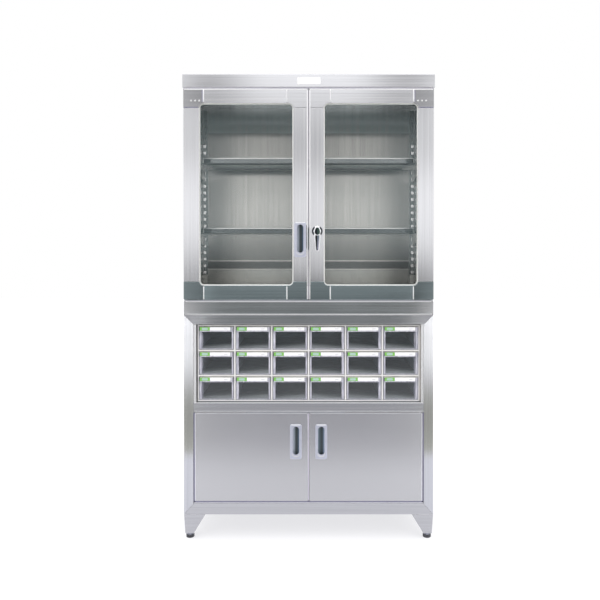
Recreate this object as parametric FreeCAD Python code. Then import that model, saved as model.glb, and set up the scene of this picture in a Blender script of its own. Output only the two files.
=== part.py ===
import FreeCAD, Part
import os
import math
from FreeCAD import Vector as V

# Stainless-steel instrument cabinet: glazed two-door upper cabinet, a waist band,
# a bank of small clear drawers, a two-door cupboard, and four legs on levelling feet.
# Millimetres. +Z up, front towards -Y, origin under the middle of the whole box.

# ------------------------------------------------------------------ driving dimensions
H_TOTAL = 1700.0          # floor to top of cap
X_CAP = 460.0             # half width of the cap
X_BODY = 457.0            # half width of the body
Y_FRONT = -195.0          # front plane of doors, waist band and lower frame
Y_BACK = 225.0            # rear plane
Y_CAP_FRONT = -197.0      # cap stands a little proud of the doors
T = 1.0                   # sheet thickness
T_DOOR = 1.5              # door skin thickness
PANEL = 10.0              # double-skin panel thickness
FOLD_R = 2.2              # outside radius of the sheet folds

# heights
Z_CAP = 1651.0            # underside of the cap
Z_DOOR_T = 1647.5         # upper doors
Z_DOOR_B = 877.5
Z_WAIST_T = 872.0         # waist band
Z_WAIST_B = 823.0
Z_RAIL_T_B = 787.0        # lower edge of the lower frame's top rail
Z_MID_T = 501.0           # mid rail and deck under the drawers
Z_MID_B = 469.4
Z_LDOOR_T = 463.0         # lower doors
Z_LDOOR_B = 137.6
Z_BRAIL_T = 130.0         # bottom rail
Z_BRAIL_B = 89.3
Z_LEG_B = 18.5            # underside of the legs

# upper carcass
Y_CARCASS = -168.0        # front edge of the upper side panels
X_IN = X_BODY - PANEL     # inside face of the side panels
Y_BACKPANEL = 207.0       # inside face of the back panels

# upper doors
DOOR_THK = 24.0
DOOR_GAP_HALF = 2.0
OPEN_X0, OPEN_X1 = -399.5, -56.0     # glass opening, left door
OPEN_Z0, OPEN_Z1 = 929.8, 1594.6
OPEN_R = 16.0
SEAM_X_OUT, SEAM_X_IN = -383.2, -79.2
SEAM_Z_TOP, SEAM_Z_BOT = 1577.7, 944.3
SEAM_GAP = 0.8
GLASS_THK = 5.0
GLASS_LAP = 8.0
SEAL_LIP = 3.2
PIVOT_IN = 9.0            # upper pivot axis from the outer and front faces
PIN_R = 4.0
BUSH_CLEAR = 0.05
BUSH_R = 7.0              # upper bushes: body and flange
BUSH_FLANGE_R = 9.0
LO_BUSH_R = 5.5           # lower bushes, slim enough to stay inside the frame's front wall
LO_BUSH_FLANGE_R = 6.8
BUSH_SEAT = 0.1           # room round a bush in its panel

# lower frame
POST_IN = 421.5           # inside edge of the posts
FRAME_DEPTH = 30.0
MITRE_GAP = 0.25

# lower doors
LD_X_OUT = 416.5
LD_GAP_HALF = 2.2
LD_THK = 22.0
LD_PIVOT_IN = 7.5

# flush pulls
PULL_W, PULL_H = 43.0, 128.0
SLOT_W, SLOT_H = 24.0, 103.0
SLOT_UP = 4.0
PULL_DEPTH = 15.0
PULL_X, PULL_Z = -30.7, 1097.0
LPULL_X, LPULL_Z = 46.5, 357.0

# lever lock
LOCK_X, LOCK_Z = 31.5, 1128.0
Y_LEVER_TIP = -225.0
SPINDLE_R = 4.0
LOCK_ROSE_R = 19.8        # round plate under the lever

# shelves
SHELF_X = 410.0
SHELF_Y0, SHELF_Y1 = -52.0, 196.0
SHELF_LIP = 22.0
SHELF_RETURN = 14.0
SHELF_TOPS = (1412.0, 1142.0)
STD_SLOT_X = 437.0
STD_HALF = 10.0
STD_DEPTH = 8.0
STD_PITCH = 28.0
STD_Z0, STD_Z1 = 880.0, 1640.0

# drawers
COLS, ROWS = 6, 3
COL_PITCH = 135.6
DIV_T = 6.0
BAY_H = 87.0
HSHELF_T = 5.5
H_BOTTOM, H_TOP, H_SIDE = 6.0, 4.0, 4.0
HOUSING_Z0 = 501.4
HOUSING_Y0, HOUSING_Y1 = -183.0, 117.0
H_BACK = 3.0
NOSE = 12.0               # depth of the dividers' broad front edge
WEB_T = 3.0               # divider thickness behind it
DRAWER_GAP_X, DRAWER_GAP_B, DRAWER_GAP_T = 1.2, 0.8, 1.7
DRAWER_WALL = 2.0
DRAWER_FRONT = 2.5
DRAWER_SIDE_H = 70.0
DRAWER_LEN = 282.0
LIP_H, LIP_OUT = 18.0, 7.0

# legs and feet
LEG_TOP, LEG_BOT = 78.0, 31.0
LEG_T = 2.0
LEG_SLOPE = 4.0
FOOT_X = 437.0
FOOT_R = 15.0
FOOT_H = 12.5             # height of the foot's pad
STUD_R = 5.0

os.makedirs("parts", exist_ok=True)


# ------------------------------------------------------------------ helpers
def box(x0, x1, y0, y1, z0, z1):
    return Part.makeBox(x1 - x0, y1 - y0, z1 - z0, V(x0, y0, z0))


def cyl(r, p, d, h):
    return Part.makeCylinder(r, h, V(*p), V(*d))


def pick(shape, test):
    """Edges whose bounding box passes the test."""
    return [e for e in shape.Edges if test(e.BoundBox)]


def flat(lo, hi):
    return abs(hi - lo) < 1e-4


def near(a, b):
    return abs(a - b) < 1e-3


def poly_xz(points, y0, y1):
    """Closed XZ outline pushed along Y."""
    pts = [V(x, y0, z) for x, z in points]
    face = Part.Face(Part.makePolygon(pts + [pts[0]]))
    return face.extrude(V(0, y1 - y0, 0))


def poly_yz(points, x0, x1):
    pts = [V(x0, y, z) for y, z in points]
    face = Part.Face(Part.makePolygon(pts + [pts[0]]))
    return face.extrude(V(x1 - x0, 0, 0))


def poly_xy(points, z0, z1):
    pts = [V(x, y, z0) for x, y in points]
    face = Part.Face(Part.makePolygon(pts + [pts[0]]))
    return face.extrude(V(0, 0, z1 - z0))


def rrect(x0, x1, z0, z1, r, y0, y1):
    """Rounded rectangle in XZ pushed along Y."""
    b = box(x0, x1, y0, y1, z0, z1)
    edges = pick(b, lambda bb: flat(bb.XMin, bb.XMax) and flat(bb.ZMin, bb.ZMax))
    return b.makeFillet(r, edges)


def inset_poly(points, d):
    """Convex outline, counter-clockwise, moved inwards by d."""
    n = len(points)
    lines = []
    for i in range(n):
        (x0, z0), (x1, z1) = points[i], points[(i + 1) % n]
        dx, dz = x1 - x0, z1 - z0
        length = math.hypot(dx, dz)
        nx, nz = -dz / length, dx / length
        lines.append((x0 + nx * d, z0 + nz * d, dx, dz))
    out = []
    for i in range(n):
        ax, az, adx, adz = lines[i - 1]
        bx, bz, bdx, bdz = lines[i]
        den = adx * bdz - adz * bdx
        t = ((bx - ax) * bdz - (bz - az) * bdx) / den
        out.append((ax + t * adx, az + t * adz))
    return out


def mirror_x(shape):
    return shape.mirror(V(0, 0, 0), V(1, 0, 0))


def both(shape):
    return [shape, mirror_x(shape)]


def hollow(x0, x1, y0, y1, z0, z1, t=T):
    """Double-skin panel: closed sheet box."""
    return box(x0, x1, y0, y1, z0, z1).cut(
        box(x0 + t, x1 - t, y0 + t, y1 - t, z0 + t, z1 - t))


NODES = {}


def put(name, solids):
    if not isinstance(solids, (list, tuple)):
        solids = [solids]
    flat_list = []
    for s in solids:
        flat_list += s.Solids
    for i, s in enumerate(flat_list):
        if not s.isValid() or s.Volume <= 0:
            print("BAD", name, i, s.isValid(), s.Volume)
    shape = flat_list[0] if len(flat_list) == 1 else Part.makeCompound(flat_list)
    NODES[name] = shape
    shape.exportStep("parts/%s.step" % name)


# ------------------------------------------------------------------ pivots
UP_X = X_BODY - PIVOT_IN
UP_Y = Y_FRONT + PIVOT_IN
LO_X = LD_X_OUT - LD_PIVOT_IN
LO_Y = Y_FRONT + LD_PIVOT_IN
BUSH_BODY = 11.0
BUSH_FLANGE_T = 1.2


def bush(x, y, z_seat, up, r=BUSH_R, flange=BUSH_FLANGE_R):
    """Flanged plain bush, its flange on the seat face, its body going into the panel."""
    d = 1 if up else -1
    b = cyl(r, (x, y, z_seat), (0, 0, d), BUSH_BODY)
    b = b.fuse(cyl(flange, (x, y, z_seat - d * BUSH_FLANGE_T), (0, 0, d), BUSH_FLANGE_T))
    b = b.cut(cyl(PIN_R + BUSH_CLEAR, (x, y, z_seat - d * 5), (0, 0, d), BUSH_BODY + 10))
    return b.removeSplitter()


def bush_hole(x, y, z, r=BUSH_R):
    return cyl(r + BUSH_SEAT, (x, y, z - 4), (0, 0, 1), 8)


put("pivot_bushes",
    [bush(s * UP_X, UP_Y, Z_CAP, True) for s in (-1, 1)]
    + [bush(s * UP_X, UP_Y, Z_WAIST_T, False) for s in (-1, 1)]
    + [bush(s * LO_X, LO_Y, Z_MID_B, True, LO_BUSH_R, LO_BUSH_FLANGE_R) for s in (-1, 1)]
    + [bush(s * LO_X, LO_Y, Z_BRAIL_T - MITRE_GAP, False, LO_BUSH_R, LO_BUSH_FLANGE_R) for s in (-1, 1)])

# ------------------------------------------------------------------ top cap
cap = box(-X_CAP, X_CAP, Y_CAP_FRONT, Y_BACK, Z_CAP, H_TOTAL)
cap = cap.makeFillet(FOLD_R, pick(cap, lambda b: near(b.ZMin, H_TOTAL) or not flat(b.ZMin, b.ZMax)
                                  or (near(b.ZMax, Z_CAP) and near(b.YMax, Y_CAP_FRONT))))
cap = cap.cut(box(-X_CAP + T, X_CAP - T, Y_CAP_FRONT + T, Y_BACK - T, Z_CAP + T, H_TOTAL - T))
for s in (-1, 1):
    cap = cap.cut(bush_hole(s * UP_X, UP_Y, Z_CAP))
put("top_cap", cap)

# ------------------------------------------------------------------ upper carcass
side = hollow(-X_BODY, -X_IN, Y_CARCASS, Y_BACK, Z_WAIST_T, Z_CAP)
put("upper_sides", both(side))

put("back_panels", [hollow(-X_IN, X_IN, Y_BACKPANEL, Y_BACKPANEL + PANEL, Z_WAIST_T, Z_CAP),
                    hollow(-X_IN, X_IN, Y_BACKPANEL, Y_BACKPANEL + PANEL, Z_BRAIL_T, Z_WAIST_B)])

# ------------------------------------------------------------------ waist band
waist = box(-X_BODY, X_BODY, Y_FRONT, Y_BACK, Z_WAIST_B, Z_WAIST_T)
waist = waist.makeFillet(FOLD_R, pick(waist, lambda b: (near(b.ZMin, Z_WAIST_T) or not flat(b.ZMin, b.ZMax)
                                                        or (near(b.ZMax, Z_WAIST_B) and near(b.YMax, Y_FRONT)))))
waist = waist.cut(box(-X_BODY + T, X_BODY - T, Y_FRONT + T, Y_BACK - T, Z_WAIST_B + T, Z_WAIST_T - T))
for s in (-1, 1):
    waist = waist.cut(bush_hole(s * UP_X, UP_Y, Z_WAIST_T))
put("waist_deck", waist)

# ------------------------------------------------------------------ shelf standards, shelves, brackets
std = box(-STD_SLOT_X - STD_HALF, -STD_SLOT_X + STD_HALF, Y_BACKPANEL - STD_DEPTH, Y_BACKPANEL, STD_Z0, STD_Z1)
std = std.cut(box(-STD_SLOT_X - STD_HALF + 1.5, -STD_SLOT_X + STD_HALF - 1.5,
                  Y_BACKPANEL - STD_DEPTH + 1.5, Y_BACKPANEL + 1, STD_Z0 - 1, STD_Z1 + 1))
slot_z = []
z = STD_Z0 + 20.0
while z < STD_Z1 - 15.0:
    slot_z.append(z)
    z += STD_PITCH
std = std.cut(Part.makeCompound([box(-STD_SLOT_X - 3, -STD_SLOT_X + 3, Y_BACKPANEL - STD_DEPTH - 1,
                                     Y_BACKPANEL - STD_DEPTH + 3, zz - 7, zz + 7) for zz in slot_z]))
put("shelf_standards", both(std))

shelves = []
brackets = []
for zt in SHELF_TOPS:
    zb = zt - SHELF_LIP
    s = box(-SHELF_X, SHELF_X, SHELF_Y0, SHELF_Y1, zb, zt)
    s = s.makeFillet(2.2, pick(s, lambda b: near(b.ZMin, zt) or
                               (near(b.YMax, SHELF_Y0) and near(b.ZMax, zb)) or
                               (not flat(b.ZMin, b.ZMax) and near(b.YMax, SHELF_Y0))))
    s = s.cut(box(-SHELF_X + T, SHELF_X - T, SHELF_Y0 + T, SHELF_Y1 - T, zb + T, zt - T))
    s = s.cut(box(-SHELF_X + T, SHELF_X - T, SHELF_Y0 + SHELF_RETURN, SHELF_Y1 - SHELF_RETURN, zb - 1, zb + T + 0.5))
    shelves.append(s)
    # cantilever bracket: tapered web hooked in the standard, with a ledge under the shelf's end
    y_std = Y_BACKPANEL - STD_DEPTH
    web = poly_yz([(y_std - 0.1, zb), (-20.0, zb), (-20.0, zb - 14.0), (y_std - 60.0, zb - 52.0), (y_std - 0.1, zb - 52.0)],
                  -STD_SLOT_X - 1.5, -STD_SLOT_X + 1.5)
    ledge = box(-STD_SLOT_X - 1.5, -392.0, -20.0, 188.0, zb - 2.0, zb)
    b = web.fuse(ledge)
    below = sorted([q for q in slot_z if zb - 46 < q < zb - 6])
    for q in below:
        b = b.fuse(box(-STD_SLOT_X - 1.5, -STD_SLOT_X + 1.5, y_std - 0.5, y_std + 4.0, q - 5.0, q + 4.0))
    b = b.removeSplitter()
    brackets += both(b)
put("shelves", shelves)
put("shelf_brackets", brackets)

# ------------------------------------------------------------------ lower carcass
lside = hollow(-X_BODY, -X_IN, Y_FRONT + FRAME_DEPTH, Y_BACK, Z_BRAIL_B, Z_WAIST_B)
put("lower_sides", both(lside))

y_fr = Y_FRONT + FRAME_DEPTH
mid = box(-X_IN, X_IN, y_fr, Y_BACKPANEL, Z_MID_B, Z_MID_T)
nose = box(-POST_IN + 0.3, POST_IN - 0.3, Y_FRONT, y_fr + 1, Z_MID_B, Z_MID_T)
nose = nose.makeFillet(1.6, pick(nose, lambda b: near(b.YMax, Y_FRONT) and flat(b.ZMin, b.ZMax)))
mid = mid.fuse(nose).removeSplitter()
mid = mid.cut(box(-X_IN + T, X_IN - T, y_fr + T, Y_BACKPANEL - T, Z_MID_B + T, Z_MID_T - T).fuse(
    box(-POST_IN + 0.3 + T, POST_IN - 0.3 - T, Y_FRONT + T, y_fr + 10, Z_MID_B + T, Z_MID_T - T)))
for s in (-1, 1):
    mid = mid.cut(bush_hole(s * LO_X, LO_Y, Z_MID_B, LO_BUSH_R))
put("mid_deck", mid)

# floor of the cupboard with a deeper apron along its rear edge, which the rear legs meet
zf = Z_BRAIL_T - 0.3
deck = box(-X_IN, X_IN, y_fr, Y_BACKPANEL, 105.0, zf).fuse(box(-X_IN, X_IN, Y_BACKPANEL - 30.0, Y_BACK, Z_BRAIL_B, zf))
deck = deck.removeSplitter().cut(
    box(-X_IN + T, X_IN - T, y_fr + T, Y_BACKPANEL, 105.0 + T, zf - T).fuse(
        box(-X_IN + T, X_IN - T, Y_BACKPANEL - 30.0 + T, Y_BACK - T, Z_BRAIL_B + T, zf - T)))
put("bottom_deck", deck)

# mitred face frame: folded box sections
post_out = [(-X_BODY, Z_BRAIL_B), (-POST_IN, Z_BRAIL_T), (-POST_IN, Z_RAIL_T_B), (-X_BODY, Z_WAIST_B)]
rail_top = [(-X_BODY, Z_WAIST_B), (-POST_IN, Z_RAIL_T_B), (POST_IN, Z_RAIL_T_B), (X_BODY, Z_WAIST_B)]
rail_bot = [(-X_BODY, Z_BRAIL_B), (X_BODY, Z_BRAIL_B), (POST_IN, Z_BRAIL_T), (-POST_IN, Z_BRAIL_T)]


def section(outline, round_edges=True):
    ccw = outline
    area = sum(ccw[i][0] * ccw[(i + 1) % 4][1] - ccw[(i + 1) % 4][0] * ccw[i][1] for i in range(4))
    if area < 0:
        ccw = ccw[::-1]
    outer = inset_poly(ccw, MITRE_GAP)
    s = poly_xz(outer, Y_FRONT, y_fr)
    if round_edges:
        s = s.makeFillet(1.6, [e for e in s.Edges if near(e.BoundBox.YMax, Y_FRONT)
                               and (flat(e.BoundBox.XMin, e.BoundBox.XMax) or flat(e.BoundBox.ZMin, e.BoundBox.ZMax))])
    inner = inset_poly(outer, 1.5)
    return s.cut(poly_xz(inner, Y_FRONT + 1.5, y_fr - 1.5))


put("front_posts", both(section(post_out)))
bot = section(rail_bot)
for s in (-1, 1):
    bot = bot.cut(bush_hole(s * LO_X, LO_Y, Z_BRAIL_T, LO_BUSH_R))
put("front_rails", [section(rail_top), bot])

# filler strips beside the drawers: front flange and a return going back
fs = poly_xy([(-POST_IN + 0.4, Y_FRONT + 2.0), (-411.5, Y_FRONT + 2.0), (-411.5, y_fr), (-411.5 - T, y_fr),
              (-411.5 - T, Y_FRONT + 2.0 + T), (-POST_IN + 0.4, Y_FRONT + 2.0 + T)][::-1], Z_MID_T + 0.4, Z_RAIL_T_B - 0.4)
put("filler_strips", both(fs))

# ------------------------------------------------------------------ legs and levelling feet
def leg(sx, sy):
    """Tapered angle leg with a foot plate; sx, sy give its corner."""
    y_c = Y_FRONT if sy < 0 else Y_BACK

    def angle(zq, arm, off):
        xo, yo = sx * (X_BODY - 0.3 - off), y_c - sy * (0.3 + off)
        xi, yi = -sx, -sy
        pts = [(0, 0), (arm, 0), (arm, LEG_T), (LEG_T, LEG_T), (LEG_T, arm), (0, arm)]
        p = [V(xo + xi * a, yo + yi * b, zq) for a, b in pts]
        return Part.makePolygon(p + [p[0]])

    s = Part.makeLoft([angle(Z_BRAIL_B, LEG_TOP, 0.0), angle(Z_LEG_B, LEG_BOT, LEG_SLOPE)], True, True)
    xo, yo = sx * (X_BODY - 0.3 - LEG_SLOPE), y_c - sy * (0.3 + LEG_SLOPE)
    xs = sorted((xo - sx * 0.4, xo - sx * LEG_BOT))
    ys = sorted((yo - sy * 0.4, yo - sy * LEG_BOT))
    plate = box(xs[0], xs[1], ys[0], ys[1], Z_LEG_B, Z_LEG_B + 4.0)
    s = s.fuse(plate)
    fx, fy = foot_xy(sx, sy)
    # welded nut on the plate
    s = s.fuse(cyl(9.0, (fx, fy, Z_LEG_B + 3.5), (0, 0, 1), 9.0))
    s = s.cut(cyl(STUD_R + 0.06, (fx, fy, Z_LEG_B - 2), (0, 0, 1), 20))
    return s.removeSplitter()


def foot_xy(sx, sy):
    y_c = Y_FRONT if sy < 0 else Y_BACK
    return sx * FOOT_X, y_c - sy * (X_BODY - FOOT_X)


def foot(sx, sy):
    fx, fy = foot_xy(sx, sy)
    pad = cyl(FOOT_R, (fx, fy, 0), (0, 0, 1), FOOT_H)
    pad = pad.makeChamfer(1.4, [e for e in pad.Edges if near(e.BoundBox.ZMax, 0) or near(e.BoundBox.ZMin, FOOT_H)])
    for k in range(12):
        a = math.radians(30 * k + 15)
        pad = pad.cut(cyl(1.9, (fx + (FOOT_R + 0.6) * math.cos(a), fy + (FOOT_R + 0.6) * math.sin(a), 4.0), (0, 0, 1), 20))
    zs = FOOT_H - 1.0
    stud = cyl(8.0, (fx, fy, zs), (0, 0, 1), Z_LEG_B - 0.5 - zs).fuse(cyl(STUD_R, (fx, fy, zs), (0, 0, 1), 45.0))
    return pad.fuse(stud).removeSplitter()


put("legs", [leg(sx, sy) for sx in (-1, 1) for sy in (-1, 1)])
for sx, sy, nm in ((-1, -1, "front_left"), (1, -1, "front_right"), (-1, 1, "rear_left"), (1, 1, "rear_right")):
    put("foot_" + nm, foot(sx, sy))

# ------------------------------------------------------------------ flush pulls (built at the origin, front face at y=0)
def pull_shape():
    z0, z1 = -PULL_H / 2, PULL_H / 2
    sz0, sz1 = -SLOT_H / 2 + SLOT_UP, SLOT_H / 2 + SLOT_UP
    plate = rrect(-PULL_W / 2, PULL_W / 2, z0, z1, 7.0, -1.2, 0.0)
    plate = plate.makeFillet(0.8, [e for e in plate.Edges if near(e.BoundBox.YMax, -1.2)])
    cup = rrect(-SLOT_W / 2 - 1.2, SLOT_W / 2 + 1.2, sz0 - 1.2, sz1 + 1.2, SLOT_W / 2 + 1.15, -0.6, PULL_DEPTH)
    s = plate.fuse(cup)
    s = s.cut(rrect(-SLOT_W / 2, SLOT_W / 2, sz0, sz1, SLOT_W / 2 - 0.05, -3.0, PULL_DEPTH - 1.2))
    return s.removeSplitter()


def pull_hole(y0, y1):
    sz0, sz1 = -SLOT_H / 2 + SLOT_UP, SLOT_H / 2 + SLOT_UP
    return rrect(-SLOT_W / 2 - 1.7, SLOT_W / 2 + 1.7, sz0 - 1.7, sz1 + 1.7, SLOT_W / 2 + 1.6, y0, y1)


def placed(shape, x, y, z):
    s = shape.copy()
    s.translate(V(x, y, z))
    return s


# ------------------------------------------------------------------ upper glazed doors (left one built, right one mirrored)
def door_pieces(features):
    x0, x1, z0, z1 = -X_BODY, -DOOR_GAP_HALF, Z_DOOR_B, Z_DOOR_T
    yf = Y_FRONT
    yb = Y_FRONT + DOOR_THK
    y_liner = yb - T                      # liner plate is the rear skin
    y_seal0, y_seal1 = yf + 8.0, yf + 16.0
    shell = box(x0, x1, yf, y_liner - 0.1, z0, z1)
    shell = shell.makeFillet(FOLD_R, pick(shell, lambda b: near(b.YMax, yf) or
                                          (flat(b.XMin, b.XMax) and flat(b.ZMin, b.ZMax))))
    opening = rrect(OPEN_X0, OPEN_X1, OPEN_Z0, OPEN_Z1, OPEN_R, yf - 5, yb + 5)
    t = T_DOOR
    pocket = box(x0 + t, x1 - t, yf + t, yb + 5, z0 + t, z1 - t).cut(
        rrect(OPEN_X0 - t, OPEN_X1 + t, OPEN_Z0 - t, OPEN_Z1 + t, OPEN_R + t, yf, yb + 10))
    shell = shell.cut(opening).cut(pocket)
    # the edge round the opening turns in only as far as the glazing seal
    shell = shell.cut(rrect(OPEN_X0 - 12, OPEN_X1 + 12, OPEN_Z0 - 12, OPEN_Z1 + 12, OPEN_R + 12, y_seal0, yb + 5))
    # pivot pin holes in the top and bottom edges
    for zz in (z0, z1):
        shell = shell.cut(cyl(PIN_R + 0.5, (-UP_X, UP_Y, zz - 5), (0, 0, 1), 10))
    # seams: wide V at the ends of the rails, fine V at the ends of the stiles
    for xs in (SEAM_X_OUT, SEAM_X_IN):
        v = poly_xy([(xs - 2.1, yf - 0.01), (xs + 2.1, yf - 0.01), (xs, yf + 1.1)], z0 - 1, z1 + 1)
        shell = shell.cut(v)
    for zs in (SEAM_Z_TOP, SEAM_Z_BOT):
        v = poly_yz([(yf - 0.01, zs - 0.9), (yf - 0.01, zs + 0.9), (yf + 0.7, zs)], x0 - 1, x1 + 1)
        shell = shell.cut(v)
    for cutter in features.get("front", []):
        shell = shell.cut(cutter)
    g = SEAM_GAP / 2
    mid_z = (z0 + z1) / 2
    mid_x = (x0 + x1) / 2
    B = 400.0
    frame = [shell.common(box(x0 - 2, OPEN_X0 + 6, yf - 2, yb + 2, SEAM_Z_BOT + g, SEAM_Z_TOP - g)),
             shell.common(box(OPEN_X1 - 6, x1 + 2, yf - 2, yb + 2, SEAM_Z_BOT + g, SEAM_Z_TOP - g)),
             shell.common(box(SEAM_X_OUT + g, SEAM_X_IN - g, yf - 2, yb + 2, OPEN_Z1 - 6, z1 + 2)),
             shell.common(box(SEAM_X_OUT + g, SEAM_X_IN - g, yf - 2, yb + 2, z0 - 2, OPEN_Z0 + 6))]
    corners = []
    for xa, xb in ((x0 - 2, SEAM_X_OUT - g), (SEAM_X_IN + g, x1 + 2)):
        for za, zb in ((z0 - 2, SEAM_Z_BOT - g), (SEAM_Z_TOP + g, z1 + 2)):
            corners.append(shell.common(box(xa, xb, yf - 2, yb + 2, za, zb)))
    # liner: rear skin with an edge turned in to the seal
    inset = 2.0
    liner = rrect(x0 + inset, x1 - inset, z0 + inset, z1 - inset, 3.0, y_liner, yb)
    liner = liner.fuse(rrect(OPEN_X0 - T, OPEN_X1 + T, OPEN_Z0 - T, OPEN_Z1 + T, OPEN_R + T, y_seal1, y_liner + 0.2))
    liner = liner.cut(opening).removeSplitter()
    for cutter in features.get("rear", []):
        liner = liner.cut(cutter)
    # glass and its seal
    yg0 = (y_seal0 + y_seal1 - GLASS_THK) / 2
    lap = GLASS_LAP
    glass = rrect(OPEN_X0 - lap, OPEN_X1 + lap, OPEN_Z0 - lap, OPEN_Z1 + lap, 10.0, yg0, yg0 + GLASS_THK)
    glass = glass.makeChamfer(0.5, [e for e in glass.Edges if flat(e.BoundBox.YMin, e.BoundBox.YMax)])
    seal = rrect(OPEN_X0 - lap - 2.5, OPEN_X1 + lap + 2.5, OPEN_Z0 - lap - 2.5, OPEN_Z1 + lap + 2.5, 12.0,
                 y_seal0 + 0.05, y_seal1 - 0.05)
    seal = seal.cut(rrect(OPEN_X0 + SEAL_LIP, OPEN_X1 - SEAL_LIP, OPEN_Z0 + SEAL_LIP, OPEN_Z1 - SEAL_LIP, OPEN_R - SEAL_LIP,
                          y_seal0 - 1, y_seal1 + 1))
    seal = seal.cut(rrect(OPEN_X0 - lap - 0.1, OPEN_X1 + lap + 0.1, OPEN_Z0 - lap - 0.1, OPEN_Z1 + lap + 0.1, 10.0,
                          yg0 - 0.05, yg0 + GLASS_THK + 0.05))
    # pivot blocks with their pins
    pins = []
    bx0, bx1 = x0 + t + 0.1, -UP_X + 8.0
    by0, by1 = yf + t + 0.1, UP_Y + 8.0
    top = box(bx0, bx1, by0, by1, z1 - t - 26, z1 - t - 0.1).fuse(
        cyl(PIN_R, (-UP_X, UP_Y, z1 - 20), (0, 0, 1), Z_CAP + 9.0 - (z1 - 20)))
    pins.append(top.removeSplitter())
    btm = box(bx0, bx1, by0, by1, z0 + t + 0.1, z0 + t + 26).fuse(
        cyl(PIN_R, (-UP_X, UP_Y, Z_WAIST_T - 9.0), (0, 0, 1), z0 + 20 - (Z_WAIST_T - 9.0)))
    pins.append(btm.removeSplitter())
    return frame, corners, liner, glass, seal, pins


left_features = {"front": [placed(pull_hole(-3.0, 4.0), PULL_X, Y_FRONT, PULL_Z)]}
frame, corners, liner, glass, seal, pins = door_pieces(left_features)
put("left_door_frame", frame)
put("left_door_corners", corners)
put("left_door_liner", liner)
put("left_glass", glass)
put("left_glass_seal", seal)
put("left_door_pivots", pins)
put("left_pull", placed(pull_shape(), PULL_X, Y_FRONT - 0.05, PULL_Z))

hole = cyl(SPINDLE_R + 6.0, (-LOCK_X, Y_FRONT - 3, LOCK_Z), (0, 1, 0), 6)
hole_rear = cyl(SPINDLE_R + 0.6, (-LOCK_X, Y_FRONT, LOCK_Z), (0, 1, 0), 60)
frame, corners, liner, glass, seal, pins = door_pieces({"front": [hole], "rear": [hole_rear]})
put("right_door_frame", [mirror_x(s) for s in frame])
put("right_door_corners", [mirror_x(s) for s in corners])
put("right_door_liner", mirror_x(liner))
put("right_glass", mirror_x(glass))
put("right_glass_seal", mirror_x(seal))
put("right_door_pivots", [mirror_x(s) for s in pins])

# ------------------------------------------------------------------ lever lock
y_base = Y_FRONT - 0.05
rose = cyl(LOCK_ROSE_R, (LOCK_X, y_base - 6.0, LOCK_Z), (0, 1, 0), 6.0)
rose = rose.makeFillet(2.6, [e for e in rose.Edges if near(e.BoundBox.YMax, y_base - 6.0)])
boss = cyl(12.5, (LOCK_X, y_base - 10.5, LOCK_Z), (0, 1, 0), 10.5)
boss = boss.makeFillet(1.2, [e for e in boss.Edges if near(e.BoundBox.YMax, y_base - 10.5)])
base = rose.fuse(boss)
base = base.fuse(cyl(SPINDLE_R + 5.5, (LOCK_X, y_base - 1.0, LOCK_Z), (0, 1, 0), 22.0))
base = base.cut(cyl(SPINDLE_R + BUSH_CLEAR, (LOCK_X, y_base - 40, LOCK_Z), (0, 1, 0), 100))
put("lock_base", base.removeSplitter())

y_hub = y_base - 10.5 - 0.4
hub = cyl(13.5, (LOCK_X, Y_LEVER_TIP, LOCK_Z), (0, 1, 0), y_hub - Y_LEVER_TIP)
hub = hub.makeFillet(3.0, [e for e in hub.Edges if near(e.BoundBox.YMax, Y_LEVER_TIP)])
blade_pts = [(LOCK_X - 8.0, LOCK_Z), (LOCK_X - 6.6, LOCK_Z - 30), (LOCK_X - 3.6, LOCK_Z - 66), (LOCK_X - 2.2, LOCK_Z - 69.5),
             (LOCK_X + 2.2, LOCK_Z - 69.5), (LOCK_X + 3.6, LOCK_Z - 66), (LOCK_X + 6.6, LOCK_Z - 30), (LOCK_X + 8.0, LOCK_Z)]
blade = poly_xz(blade_pts, Y_LEVER_TIP + 3.2, Y_LEVER_TIP + 12.0)
blade = blade.makeFillet(1.6, [e for e in blade.Edges if near(e.BoundBox.YMax, Y_LEVER_TIP + 3.2)
                               and e.BoundBox.ZMin < LOCK_Z - 1])
lever = hub.fuse(blade).fuse(cyl(SPINDLE_R, (LOCK_X, y_hub - 2.0, LOCK_Z), (0, 1, 0), Y_FRONT + DOOR_THK + 9.0 - (y_hub - 2.0)))
put("lock_lever", lever.removeSplitter())

y_t0 = Y_FRONT + DOOR_THK + 1.5
tongue = rrect(LOCK_X - 10.0, LOCK_X + 10.0, LOCK_Z - 11.0, LOCK_Z + 55.0, 9.9, y_t0, y_t0 + 3.0)
tongue = tongue.cut(cyl(SPINDLE_R + 0.03, (LOCK_X, y_t0 - 5, LOCK_Z), (0, 1, 0), 20))
nut_pts = [(LOCK_X + 8.0 * math.cos(math.radians(60 * k)), LOCK_Z + 8.0 * math.sin(math.radians(60 * k))) for k in range(6)]
nut = poly_xz(nut_pts, y_t0 + 3.0, y_t0 + 7.0).cut(cyl(SPINDLE_R + 0.03, (LOCK_X, y_t0 - 5, LOCK_Z), (0, 1, 0), 20))
put("lock_tongue", [tongue, nut])

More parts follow.
